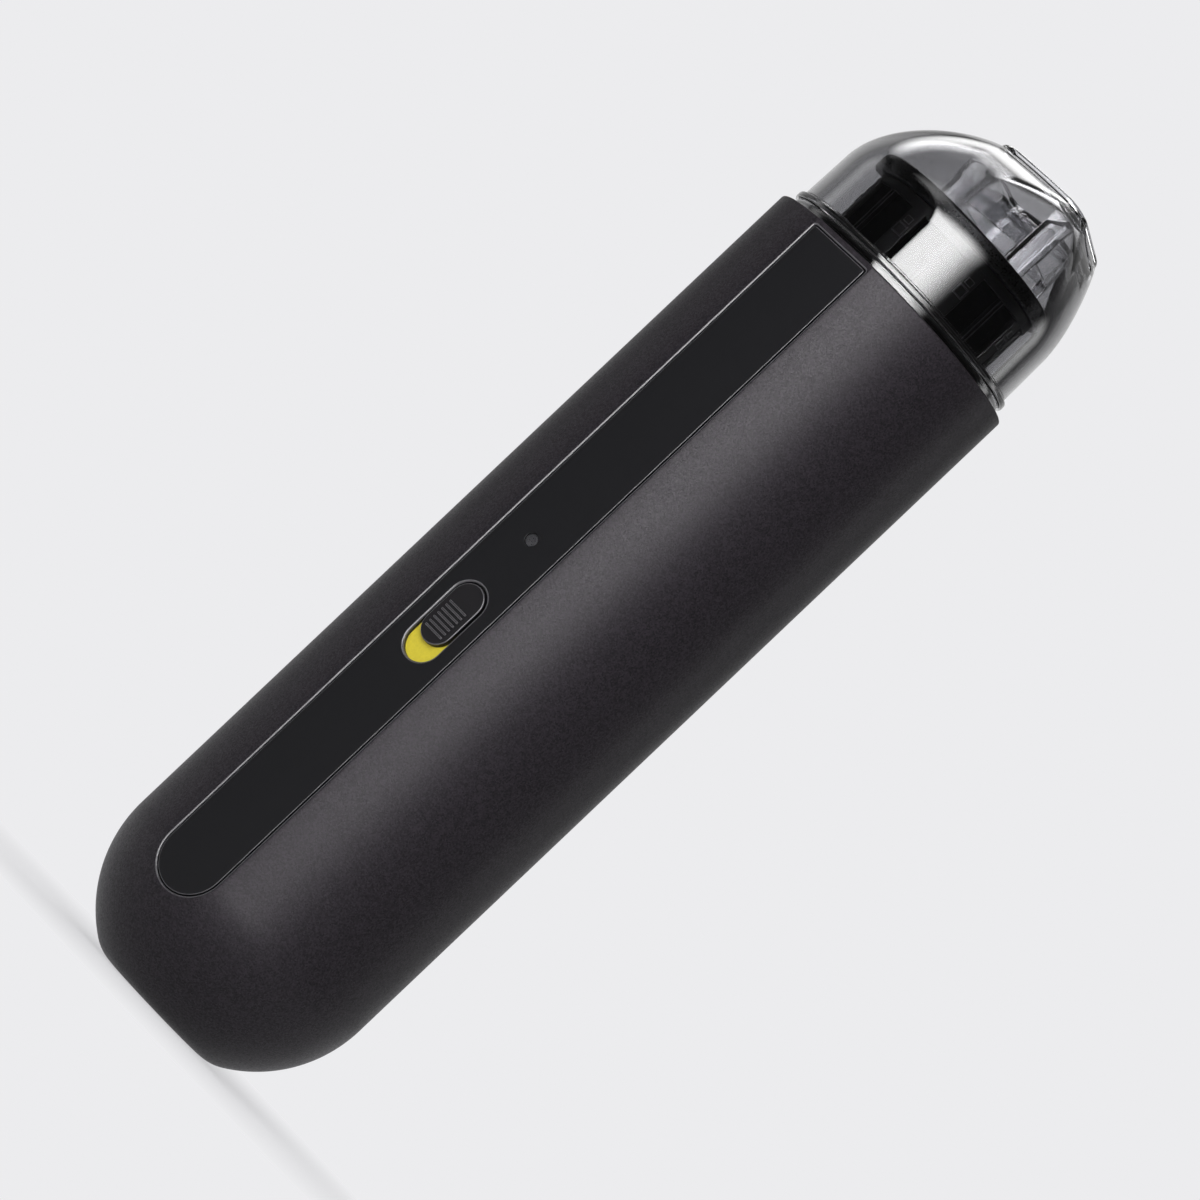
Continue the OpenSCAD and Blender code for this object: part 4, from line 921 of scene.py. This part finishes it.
class VACUUM_OT_tail(bpy.types.Operator):
    """Build the exhaust grille and the charging socket"""

    bl_idname = "vacuum.tail"
    bl_label = "Tail"

    def execute(self, context):
        tail = settings().tail
        port_w, port_h = 2 * SOCKET[1].x, 2 * SOCKET[1].y

        def port(grow):
            return [(y, x) for x, y in slot_outline(port_h + 2 * grow, port_w + 2 * grow, steps=12)]

        outlines = [circle(GRILLE[1].x, steps=96), port(tail.port_gap)]
        vent_len = tail.vent_out - tail.vent_in
        vent = slot_outline(tail.vent_w, vent_len, (tail.vent_in + tail.vent_out) / 2, steps=8)
        for i in range(tail.vents):
            turn = math.tau * i / tail.vents
            c, s = math.cos(turn), math.sin(turn)
            outlines.append([(x * c - y * s, x * s + y * c) for x, y in vent])
        bm = plate(outlines, on_tail(GRILLE[0].z), GRILLE[1].z - GRILLE[0].z)
        soften(bm, tail.edge, 2, lambda spot: spot.z < GRILLE[0].z + tail.edge)
        add_piece("grille", bm, "handle", "tail_grille", black_plastic("grille_plastic", 0.45))
        bm = plate([port(0), port(-tail.port_wall)], on_tail(SOCKET[0].z), SOCKET[1].z - SOCKET[0].z)
        soften(bm, tail.port_wall / 3, 2, lambda spot: spot.z < SOCKET[0].z + tail.port_wall)
        back = on_tail(SOCKET[1].z - 2 * tail.port_wall)
        join(bm, plate([port(-tail.port_wall / 2)], back, tail.port_wall))
        steel = metal("socket_steel", (186, 188, 192), 0.28, ALONG_Z)
        add_piece("charging_socket", bm, "handle", "charge_port", steel)
        return {"FINISHED"}


def mouth_slope(x, y):
    """Height of the sloped and crowned mouth above its middle."""
    cup = settings().cup
    return -(y - cup.mouth_back) * math.tan(cup.mouth_tilt) - x * x / (2 * cup.mouth_crown)


def mouth_z():
    """Height of the mouth's middle."""
    return settings().body.height + settings().cup.straight + settings().cup.dome_h


def dome_ring(share, inset):
    """A ring of the dome, from its round foot at 0 to the mouth at 1, or of its inner face."""
    cup = settings().cup
    close = share**cup.side_power
    lean = share**cup.back_power
    base = cup.radius - cup.taper
    a = base + close * (cup.mouth_w / 2 - base) - inset
    b = base + close * (cup.mouth_l / 2 - base) - inset
    corner = base + close * (cup.mouth_corner - base) - inset
    height = settings().body.height + cup.straight + share * (cup.dome_h - inset)

    def point(turn):
        x, y = rounded_box(turn, a, b, corner)
        y += cup.mouth_back * lean
        return Vector((x, y, height + lean * mouth_slope(x, y)))

    return point


def sloped(a, b, corner, back, rise):
    """A rounded box on the mouth's own slope."""

    def point(turn):
        x, y = rounded_box(turn, a, b, corner)
        return Vector((x, y + back, mouth_z() + rise + mouth_slope(x, y + back)))

    return point


def flat_front(point, inset):
    """A ring with the cup's flat front, whose edge is rounded off."""
    cup = settings().cup
    stop = inset - cup.flat

    def flattened(turn):
        spot = point(turn)
        near = max(cup.flat_soft - abs(spot.y - stop), 0) / cup.flat_soft
        spot.y = max(spot.y, stop) + near * near * cup.flat_soft / 4
        return spot

    return flattened


def level(a, b, corner, back, height):
    """A rounded box at one height."""

    def point(turn):
        x, y = rounded_box(turn, a, b, corner)
        return Vector((x, y + back, height))

    return point


class VACUUM_OT_cup(bpy.types.Operator):
    """Build the clear dust cup with its bead, its flat front and its dome"""

    bl_idname = "vacuum.cup"
    bl_label = "Dust cup"

    def execute(self, context):
        cup, duct, body = settings().cup, settings().duct, settings().body
        foot = CUP[0].z
        step = body.height + cup.step_z
        bead = body.height + cup.bead_z
        bead_top = bead + cup.bead_h
        bead_r = CUP[1].x
        groove = cup.groove
        wall_z = bead_top + groove
        profile = [(cup.bore_r, bead_top - groove), (cup.bore_r, foot), (cup.foot_r, foot)]
        profile += [(cup.foot_r, step), (cup.step_r, step), (cup.step_r, bead - groove)]
        profile.append((cup.groove_r, bead - groove))
        profile += [(cup.groove_r, bead), (bead_r, bead), (bead_r, bead_top), (cup.groove_r, bead_top)]
        rings = [ring(radius, height) for radius, height in profile]
        rings += [flat_front(ring(cup.groove_r, wall_z), 0), flat_front(ring(cup.radius, wall_z), 0)]
        shares = [i / cup.rows for i in range(cup.rows + 1)]
        rings += [flat_front(dome_ring(share, 0), 0) for share in shares]
        hole = (duct.width / 2 + duct.seat, duct.depth / 2 + duct.seat, duct.corner + duct.seat, duct.back)
        rings += [sloped(*hole, 0), sloped(*hole, -cup.wall)]
        rings += [flat_front(dome_ring(share, cup.wall), cup.wall) for share in reversed(shares)]
        rings.append(flat_front(ring(cup.radius - cup.wall, bead_top - groove), cup.wall))
        bm = loft(rings, cup.columns)

        def on_bead(spot):
            return spot.xy.length > bead_r - groove and bead - groove < spot.z < wall_z

        soften(bm, cup.bead_edge, 4, on_bead)
        soften(bm, cup.edge, 2, lambda spot: spot.z < wall_z + groove)
        add_piece("clear_cup", bm, "cup", "dust_cup", grained_finish("cup_smoke"))
        return {"FINISHED"}


class VACUUM_OT_duct(bpy.types.Operator):
    """Build the mouth's lip, the clear duct with its legs and the fins in front"""

    bl_idname = "vacuum.duct"
    bl_label = "Intake duct"

    def execute(self, context):
        cup, duct = settings().cup, settings().duct
        leg_z = DUCT[0].z
        window_z = leg_z + duct.window

        def lip(inset, rise):
            inset += duct.lip_gap
            sizes = (cup.mouth_w / 2 - inset, cup.mouth_l / 2 - inset, cup.mouth_corner - inset)
            return sloped(*sizes, cup.mouth_back, rise)

        outer = (duct.width / 2, duct.depth / 2, duct.corner, duct.back)
        inner = (outer[0] - duct.wall, outer[1] - duct.wall, outer[2] - duct.wall, duct.back)
        edge = duct.lip_edge
        turns = [math.pi / 2 * i / 6 for i in range(7)]
        bend = [(edge * (1 - math.cos(turn)), edge * (1 - math.sin(turn))) for turn in turns]
        rings = [level(*outer, window_z), sloped(*outer, duct.seat), lip(0, duct.seat)]
        rings += [lip(inset, duct.lip - drop) for inset, drop in bend]
        rings += [sloped(*inner, duct.lip), level(*inner, window_z)]
        bm = loft(rings, cup.columns)
        self.add_legs(bm, window_z, leg_z)
        soften(bm, duct.edge, 2)
        self.add_fins(bm, leg_z)
        add_piece("mouth_duct", bm, "cup", "intake_duct", grained_finish("duct_clear"))
        return {"FINISHED"}

    def add_legs(self, bm, window_z, leg_z):
        """Pulls the four corners of the duct's lower edge down to the filter."""
        duct = settings().duct
        half_w, half_d = duct.width / 2 - duct.leg, duct.depth / 2 - duct.leg
        cuts = [((s * half_w, 0, 0), (1, 0, 0)) for s in (-1, 1)]
        cuts += [((0, duct.back + s * half_d, 0), (0, 1, 0)) for s in (-1, 1)]

        def lower():
            return [f for f in bm.faces if all(abs(v.co.z - window_z) < NEAR for v in f.verts)]

        for spot, facing in cuts:
            geom = with_rims(lower())
            bmesh.ops.bisect_plane(bm, geom=geom, plane_co=spot, plane_no=facing, dist=NEAR / 10)
        centres = [(f, f.calc_center_median()) for f in lower()]
        corners = [f for f, c in centres if abs(c.x) > half_w and abs(c.y - duct.back) > half_d]
        made = bmesh.ops.extrude_face_region(bm, geom=corners + list({e for f in corners for e in f.edges}))
        bmesh.ops.translate(bm, verts=picked(made, bmesh.types.BMVert), vec=(0, 0, leg_z - window_z))
        outward(bm)

    def add_fins(self, bm, leg_z):
        """Adds the two upright fins in front of the duct, under the dome."""
        duct = settings().duct
        front = duct.back - duct.depth / 2
        top = mouth_z() - duct.fin_drop
        outer, inner = duct.width / 2, duct.width / 2 - duct.wall
        reach = duct.corner + duct.seat
        turns = [-math.degrees(math.acos((x - outer + duct.corner) / reach)) for x in (outer, inner)]
        points = [(inner, front - duct.fin), (outer, front - duct.fin)]
        points += arc((outer - duct.corner, front + duct.corner), reach, *turns, 6)
        for side in (-1, 1):
            edge = [(side * x, y) for x, y in points]
            fin = plate([edge], Matrix.Translation((0, 0, top)), top - leg_z)
            for vert in fin.verts:
                if vert.co.z > top - NEAR and vert.co.y < front:
                    vert.co.z -= duct.fin_slope
            soften(fin, duct.edge, 2)
            join(bm, fin)


class VACUUM_OT_filter(bpy.types.Operator):
    """Build the filter: cage, cap, woven screen, pleated sheet and gasket"""

    bl_idname = "vacuum.filter"
    bl_label = "Filter"

    def execute(self, context):
        self.build_cage()
        self.build_cap()
        self.build_screen()
        self.build_pleats()
        low, high = GASKET
        inner = settings().filter.foot_in + settings().filter.edge
        bm = tube(inner, high.x, low.z, high.z, steps=96)
        soften(bm, settings().filter.edge, 3)
        add_piece("gasket", bm, "filter", "filter_gasket", grained_finish("black_rubber"))
        return {"FINISHED"}

    def build_cage(self):
        """The foot ring, the posts and the two bands, with a snap pocket on each post."""
        cage = settings().filter
        foot_top = CAGE[0].z + cage.foot
        top = CAGE[1].z
        low, high = foot_top + cage.band, top - cage.band
        segments = cage.columns * cage.posts
        radius = cage.radius
        bm = bmesh.new()
        bmesh.ops.create_cone(bm, segments=segments, radius1=radius, radius2=radius, depth=top - foot_top)
        bmesh.ops.translate(bm, verts=bm.verts, vec=(0, 0, (top + foot_top) / 2))
        step = math.tau / segments
        half_post = cage.post_columns / 2
        turn = Matrix.Rotation(cage.post_turn - step * half_post, 3, "Z")
        bmesh.ops.rotate(bm, verts=bm.verts, matrix=turn)
        for height in (low, high):
            bmesh.ops.bisect_plane(bm, geom=whole(bm), plane_co=(0, 0, height), plane_no=(0, 0, 1))
        gone = []
        for face in bm.faces:
            spot = face.calc_center_median()
            place = (math.atan2(spot.y, spot.x) - cage.post_turn) / step + half_post
            if place % cage.columns > cage.post_columns and low < spot.z < high:
                gone.append(face)
        bmesh.ops.delete(bm, geom=gone, context="FACES")
        outward(bm)
        bmesh.ops.solidify(bm, geom=list(bm.faces), thickness=cage.wall)
        outward(bm)
        soften(bm, cage.edge, 2)
        foot = tube(cage.foot_in, CAGE[1].x, CAGE[0].z, foot_top, segments)
        soften(foot, cage.edge, 2)
        join(bm, foot)
        for i in range(cage.posts):
            self.add_post_detail(bm, cage.post_turn + math.tau * i / cage.posts)
        finishes = [black_plastic("cage_black", 0.42), grained_finish("painted_edge_highlight")]
        add_piece("filter_cage", bm, "filter", "filter_frame", *finishes)

    def add_post_detail(self, bm, turn):
        """A snap window on a post, the tongue over it and the two thin ribs in the gap beside it."""
        cage = settings().filter
        side = Matrix.Rotation(turn + math.pi / 2, 4, "Z")
        place = side @ on_front(-cage.radius - cage.edge)
        snap, middle = cage.snap, CAGE[1].z - cage.snap_drop
        rim = cage.edge
        # The window's, the tongue's and the ribs' rounded edges get the second finish, a lighter colour
        # that paints their highlight lines
        window = plate([rectangle(size, size, middle) for size in (snap, snap - 2 * rim)], place, 2 * rim)
        soften(window, rim / 3, 2, second=True)
        join(bm, window)
        tongue = plate([rectangle(cage.tongue_w, cage.tongue_h, middle + snap)], place, 2 * rim)
        soften(tongue, rim / 2, 2, second=True)
        join(bm, tongue)
        between = Matrix.Rotation(turn + math.pi / 2 + math.pi / cage.posts, 4, "Z")
        low, high = CAGE[0].z + cage.foot + cage.band / 2, CAGE[1].z - cage.band / 2
        for shift in (-cage.rib_gap, cage.rib_gap):
            edge = [(x + shift, y) for x, y in rectangle(rim, high - low, (low + high) / 2)]
            rib = plate([edge], between @ on_front(rim - cage.radius), cage.wall - rim)
            soften(rib, rim / 3, 2, second=True)
            join(bm, rib)

    def build_cap(self):
        """The black cap with a shallow dish in its top."""
        cage = settings().filter
        top, radius = LID[1].z, LID[1].x
        low, floor = top - cage.cap_h, top - cage.dish
        rim = radius - cage.cap_rim
        profile = [(0, low), (radius, low), (radius, top), (rim, top)]
        profile += [(rim - cage.dish_slope, floor), (0, floor)]
        bm = lathe(profile, steps=120)
        soften(bm, cage.cap_edge, 4, lambda spot: spot.xy.length > radius - cage.cap_rim / 2)
        add_piece("filter_lid", bm, "filter", "filter_cap", black_plastic("lid_black", 0.3))

    def build_screen(self):
        """The woven screen inside the cage, with a map that runs round it."""
        low, high = SCREEN
        bm = tube(high.x - settings().filter.screen_t, high.x, low.z, high.z, steps=120)
        layer = bm.loops.layers.uv.new("weave")
        for face in bm.faces:
            middle = math.atan2(face.calc_center_median().y, face.calc_center_median().x)
            for loop in face.loops:
                turn = math.atan2(loop.vert.co.y, loop.vert.co.x)
                turn += math.tau * round((middle - turn) / math.tau)
                loop[layer].uv = (turn * high.x, loop.vert.co.z)
        add_piece("filter_screen", bm, "filter", "filter_mesh", woven_screen())

    def build_pleats(self):
        """The pleated sheet."""
        cage = settings().filter
        low, high = PLEATS
        half_pleat = math.pi / cage.pleats

        def folds(inset):
            points = []
            for i in range(2 * cage.pleats):
                radius = high.x - (i % 2) * cage.pleat_depth - inset
                points.append((radius * math.cos(half_pleat * i), radius * math.sin(half_pleat * i)))
            return points

        bm = plate([folds(0), folds(cage.pleat_t)], on_tail(low.z), high.z - low.z)
        soften(bm, cage.pleat_t / 3, 2)
        add_piece("filter_pleats", bm, "filter", "filter_media", grained_finish("media_fabric"))


class VACUUM_OT_collar(bpy.types.Operator):
    """Build the collar that carries the cup and the filter, and its sealing ring"""

    bl_idname = "vacuum.collar"
    bl_label = "Collar"

    def execute(self, context):
        collar = settings().filter
        low, top = COLLAR[0].z, COLLAR[1].z
        flange_r, neck_r = COLLAR[1].x, collar.neck_r
        seat = settings().body.height - collar.seat_drop
        floor = seat - collar.seat_t
        seal_z, seal_r = (SEAL[0].z + SEAL[1].z) / 2, (SEAL[1].z - SEAL[0].z) / 2
        groove_r = neck_r - collar.groove
        half = seal_r + collar.groove_gap
        neck_z = low + collar.flange_h
        socket_r, neck_in = collar.socket_r, collar.neck_in
        profile = [(socket_r, low), (flange_r, low), (flange_r, neck_z), (neck_r, neck_z)]
        profile += [(neck_r, seal_z - half), (groove_r, seal_z - half), (groove_r, seal_z + half)]
        profile += [(neck_r, seal_z + half), (neck_r, top), (socket_r, top), (socket_r, seat)]
        profile += [(neck_in, seat), (neck_in, floor), (socket_r, floor)]
        bm = lathe(profile, steps=160)
        bmesh.ops.bisect_plane(
            bm, geom=whole(bm), plane_co=(0, COLLAR[0].y, 0), plane_no=(0, -1, 0), clear_outer=True
        )
        bmesh.ops.contextual_create(bm, geom=[e for e in bm.edges if e.is_boundary])
        outward(bm)
        key = bmesh.new()
        side = collar.key_w / 2
        block(key, (-side, neck_r - collar.key_in, neck_z), (side, neck_r + collar.key_out, seat))
        join(bm, key)
        soften(bm, collar.edge, 2)
        add_piece("cup_collar", bm, "handle", "front_collar", black_plastic("collar_black", 0.4))
        middle = SEAL[1].x - seal_r
        seal = lathe(circle(seal_r, (middle, seal_z), steps=24), steps=160)
        add_piece("cup_ring", seal, "handle", "cup_seal", grained_finish("black_rubber"))
        return {"FINISHED"}


class VACUUM_OT_inside(bpy.types.Operator):
    """Give every part that is shown as it is in the frame its finish"""

    bl_idname = "vacuum.inside"
    bl_label = "Inner parts"

    def execute(self, context):
        finishes = inner_finishes()
        for name, part in frame["nodes"].items():
            if not part.hide_render:
                part.material_slots[0].material = finishes[SLOT_OF[name]]
        return {"FINISHED"}


# Stage


def from_side(azimuth, elevation):
    """Direction from the object to someone who looks at it from this side."""
    flat = math.cos(elevation)
    return Vector((math.sin(azimuth) * flat, -math.cos(azimuth) * flat, math.sin(elevation)))


class VACUUM_OT_stage(bpy.types.Operator):
    """Set up the camera, the soft light and the pale floor"""

    bl_idname = "vacuum.stage"
    bl_label = "Stage"

    def execute(self, context):
        context.scene.view_settings.view_transform = "Standard"
        self.add_camera(context.scene)
        self.add_lights()
        self.add_cards()
        self.add_surround()
        self.add_flags()
        self.add_floor()
        self.light_world(context.scene)
        return {"FINISHED"}

    def add_camera(self, scene):
        """The camera at the photograph's angle, rolled so that the nozzle points up to the right."""
        stage = settings().stage
        data = bpy.data.cameras.new("camera")
        data.sensor_width = 36
        data.lens = data.sensor_width * stage.distance / stage.view
        data.clip_start, data.clip_end = 0.01, 100
        camera = bpy.data.objects.new("camera", data)
        scene.collection.objects.link(camera)
        scene.camera = camera
        right = Vector((math.cos(stage.azimuth), math.sin(stage.azimuth), 0))
        aim = right * stage.aim_side + Vector((0, 0, stage.aim_z))
        back = from_side(stage.azimuth, stage.elevation)
        camera.location = aim + back * stage.distance
        upright = (-back).to_track_quat("-Z", "Y").to_matrix().to_4x4()
        camera.rotation_euler = (upright @ Matrix.Rotation(stage.roll, 4, "Z")).to_euler()

    def add_lights(self):
        """A large soft box beside the camera, a small one from above and one behind the object."""
        stage = settings().stage
        # Name, turn and height in degrees, distance and size in metres, power in watts
        boxes = (
            ("key", -8, 18, 1.1, 0.7, stage.key),
            ("top", -30, 65, 0.9, 0.6, stage.key * 0.25),
            ("back", 165, 25, 1.3, 0.7, stage.key),
        )
        for name, turn, height, distance, size, power in boxes:
            data = bpy.data.lights.new(name, "AREA")
            data.size, data.energy = size, power
            lamp = bpy.data.objects.new(name, data)
            bpy.context.scene.collection.objects.link(lamp)
            lamp.matrix_world = self.towards(turn, height, distance)
            lamp.visible_camera = lamp.visible_glossy = lamp.visible_transmission = False

    def towards(self, turn, height, distance):
        """Faces the object from a side, in degrees right of the camera and above the horizon."""
        stage = settings().stage
        back = from_side(stage.azimuth + math.radians(turn), math.radians(height))
        place = Matrix.Translation(Vector((0, 0, stage.aim_z)) + back * distance)
        return place @ (-back).to_track_quat("-Z", "Y").to_matrix().to_4x4()

    def add_cards(self):
        """Soft bright cards that only show as reflections: in front, over the dome, left and right."""
        # Name, turn and height in degrees, distance, width and depth in metres, brightness, then the share
        # of the card in which its left, right, lower and upper edges fade
        cards = (
            ("front_card", -7, 20, 1.2, 1.45, 1.15, 16.0, (0.1, 0.45, 0.1, 0.3)),
            ("dome_card", -158, 40, 1.4, 1.9, 0.42, 4.0, (0.3, 0.3, 0.5, 0.4)),
            ("left_card", -115, 10, 1.3, 0.5, 1.0, 1.2, (0.5, 0.5, 0.2, 0.3)),
            ("right_card", 114, 12, 1.3, 0.45, 0.9, 2.5, (0.5, 0.5, 0.2, 0.3)),
            ("high_card", -64, 50, 1.3, 0.8, 0.7, 2.0, (0.4, 0.4, 0.35, 0.4)),
        )
        for name, turn, height, distance, width, depth, strength, fade in cards:

            def glow(x, y):
                level = strength
                for reach, share in zip((x, 1 - x, y, 1 - y), fade):
                    level *= smooth(reach / share)
                return level

            self.add_panel(name, self.towards(turn, height, distance), (width, depth), glow, steps=32)

    def add_panel(self, name, place, size, glow, steps=1, reflected=True):
        """A flat card, as bright as glow() says for places that run from 0 to 1 across and up."""
        bm = bmesh.new()
        bmesh.ops.create_grid(bm, x_segments=steps, y_segments=steps, size=0.5)
        layer = bm.verts.layers.float.new("glow")
        for vert in bm.verts:
            vert[layer] = glow(vert.co.x + 0.5, vert.co.y + 0.5)
        bmesh.ops.scale(bm, verts=bm.verts, vec=(*size, 1))
        bmesh.ops.transform(bm, verts=bm.verts, matrix=place)
        self.add_card(name, bm, reflected)

    def add_surround(self):
        """A dark room in front and at the sides that only shows as reflections, pale towards the back."""
        stage = settings().stage
        view = from_side(stage.azimuth, stage.elevation)
        bm = bmesh.new()
        bmesh.ops.create_icosphere(bm, subdivisions=5, radius=stage.room_r)
        glow = bm.verts.layers.float.new("glow")
        for vert in bm.verts:
            away = view.angle(vert.co)
            share = smooth((away - stage.room_dark) / (math.pi - stage.room_dark))
            vert[glow] = stage.room_glow + share * (stage.pale[0] - stage.room_glow)
        self.add_card("room", bm)

    def add_flags(self):
        """Tall dark panels beside the four main directions that draw the edges of the clear plastics.

        They only show through these, and none stands behind the object as the camera sees it.
        """
        stage = settings().stage
        size = (stage.flag_w, stage.flag_h)
        for i in range(8):
            turn = math.degrees(math.pi / 2 * (i // 2) + stage.flag_turn * (-1) ** i - stage.azimuth)
            place = self.towards(turn, 0, stage.flag_far)
            self.add_panel(f"flag_{i}", place, size, lambda x, y: stage.room_glow, reflected=False)

    def add_card(self, name, bm, reflected=True):
        """Adds a shape that only shows in reflections, or else only through clear plastic."""
        card = add_object(name, bm, self.card_glow(name, reflected))
        card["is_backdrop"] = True
        card.visible_camera = card.visible_diffuse = card.visible_shadow = False

    def card_glow(self, name, reflected):
        """Light of a card, as its attribute says, for rays that were reflected or for the rest."""
        material = bpy.data.materials.new(name)
        material.use_nodes = True
        nodes = material.node_tree.nodes
        nodes.remove(nodes["Principled BSDF"])
        glow = add_node(material, "ShaderNodeAttribute", attribute_name="glow")
        light = add_node(material, "ShaderNodeEmission", {"Strength": glow.outputs["Fac"]})
        clear = add_node(material, "ShaderNodeBsdfTransparent")
        depth = add_node(material, "ShaderNodeLightPath").outputs["Glossy Depth"]
        sides = (clear, light) if reflected else (light, clear)
        self.show(material, self.either(material, depth, *sides))
        return material

    def either(self, holder, share, first, second):
        """A mix of two shaders."""
        inputs = {"Fac": share, 1: first.outputs[0], 2: second.outputs[0]}
        return add_node(holder, "ShaderNodeMixShader", inputs)

    def show(self, holder, shader):
        """Sends a shader to the output."""
        kinds = ("ShaderNodeOutputMaterial", "ShaderNodeOutputWorld")
        output = next(node for node in holder.node_tree.nodes if node.bl_idname in kinds)
        holder.node_tree.links.new(shader.outputs[0], output.inputs["Surface"])

    def add_floor(self):
        """A round pale floor that fades into the background and is clear from below."""
        stage = settings().stage
        material = finish("floor", stage.pale, 0.9, {"Specular IOR Level": 0.0})
        far = add_node(material, "ShaderNodeVectorMath", {0: object_place(material)}, operation="LENGTH")
        reach = {"From Min": stage.fade_start, "From Max": stage.fade_end, "To Min": stage.fade_least}
        reach["Value"] = far.outputs["Value"]
        fade = add_node(material, "ShaderNodeMapRange", reach).outputs["Result"]
        shares = {0: fade, 1: self.seen_rays(material)}
        seen = add_node(material, "ShaderNodeMath", shares, operation="MULTIPLY").outputs["Value"]
        matt = material.node_tree.nodes["Principled BSDF"]
        glow = add_node(material, "ShaderNodeEmission", {"Color": (*stage.pale, 1), "Strength": 1.0})
        top = self.either(material, seen, matt, glow)
        below = add_node(material, "ShaderNodeNewGeometry").outputs["Backfacing"]
        clear = add_node(material, "ShaderNodeBsdfTransparent")
        self.show(material, self.either(material, below, top, clear))
        bm = bmesh.new()
        bmesh.ops.create_circle(bm, cap_ends=True, segments=96, radius=stage.floor_r)
        bmesh.ops.translate(bm, verts=bm.verts, vec=(0, 0, -stage.floor_gap))
        floor = add_object("floor", bm, material)
        floor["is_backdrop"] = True

    def seen_rays(self, holder):
        """1 for rays that show the background: from the camera, reflected or through clear plastic."""
        path = add_node(holder, "ShaderNodeLightPath")
        total = path.outputs["Is Camera Ray"]
        for name in ("Is Glossy Ray", "Is Transmission Ray"):
            pair = {0: total, 1: path.outputs[name]}
            total = add_node(holder, "ShaderNodeMath", pair, operation="MAXIMUM").outputs["Value"]
        return total

    def light_world(self, scene):
        """An even fill light, and the pale background where it is seen."""
        stage = settings().stage
        world = bpy.data.worlds.new("studio")
        world.use_nodes = True
        scene.world = world
        fill = world.node_tree.nodes["Background"]
        fill.inputs["Color"].default_value = (1, 1, 1, 1)
        fill.inputs["Strength"].default_value = stage.fill
        pale = add_node(world, "ShaderNodeBackground", {"Color": (*stage.pale, 1), "Strength": 1.0})
        self.show(world, self.either(world, self.seen_rays(world), fill, pale))


OPERATORS = (
    VACUUM_OT_stage,
    VACUUM_OT_body,
    VACUUM_OT_strip,
    VACUUM_OT_switch,
    VACUUM_OT_light,
    VACUUM_OT_tail,
    VACUUM_OT_collar,
    VACUUM_OT_filter,
    VACUUM_OT_cup,
    VACUUM_OT_duct,
    VACUUM_OT_inside,
)
GROUPS = (
    BodySettings,
    StripSettings,
    TailSettings,
    CupSettings,
    DuctSettings,
    FilterSettings,
    FinishSettings,
    StageSettings,
    VacuumSettings,
)


class VACUUM_PT_panel(bpy.types.Panel):
    """Lists the pieces and their settings."""

    bl_label = "Car Vacuum Cleaner"
    bl_space_type = "VIEW_3D"
    bl_region_type = "UI"
    bl_category = "Vacuum"

    def draw(self, context):
        for operator in OPERATORS:
            self.layout.operator(operator.bl_idname)
        for name, pointer in settings().bl_rna.properties.items():
            if pointer.type == "POINTER" and name != "rna_type":
                box = self.layout.box()
                box.label(text=name.capitalize())
                group = getattr(settings(), name)
                for prop in group.__annotations__:
                    box.prop(group, prop)


CLASSES = GROUPS + OPERATORS + (VACUUM_PT_panel,)


def register():
    for made in CLASSES:
        bpy.utils.register_class(made)
    bpy.types.Scene.vacuum = PointerProperty(type=VacuumSettings)


def unregister():
    del bpy.types.Scene.vacuum
    for made in reversed(CLASSES):
        bpy.utils.unregister_class(made)


def main():
    register()
    for operator in OPERATORS:
        group, name = operator.bl_idname.split(".")
        getattr(getattr(bpy.ops, group), name)()
    boxes = {"cad": CAD_BOX, "visual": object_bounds()}
    {name: [list(corner) for corner in box] for name, box in boxes.items()}


if __name__ == "__main__":
    main()
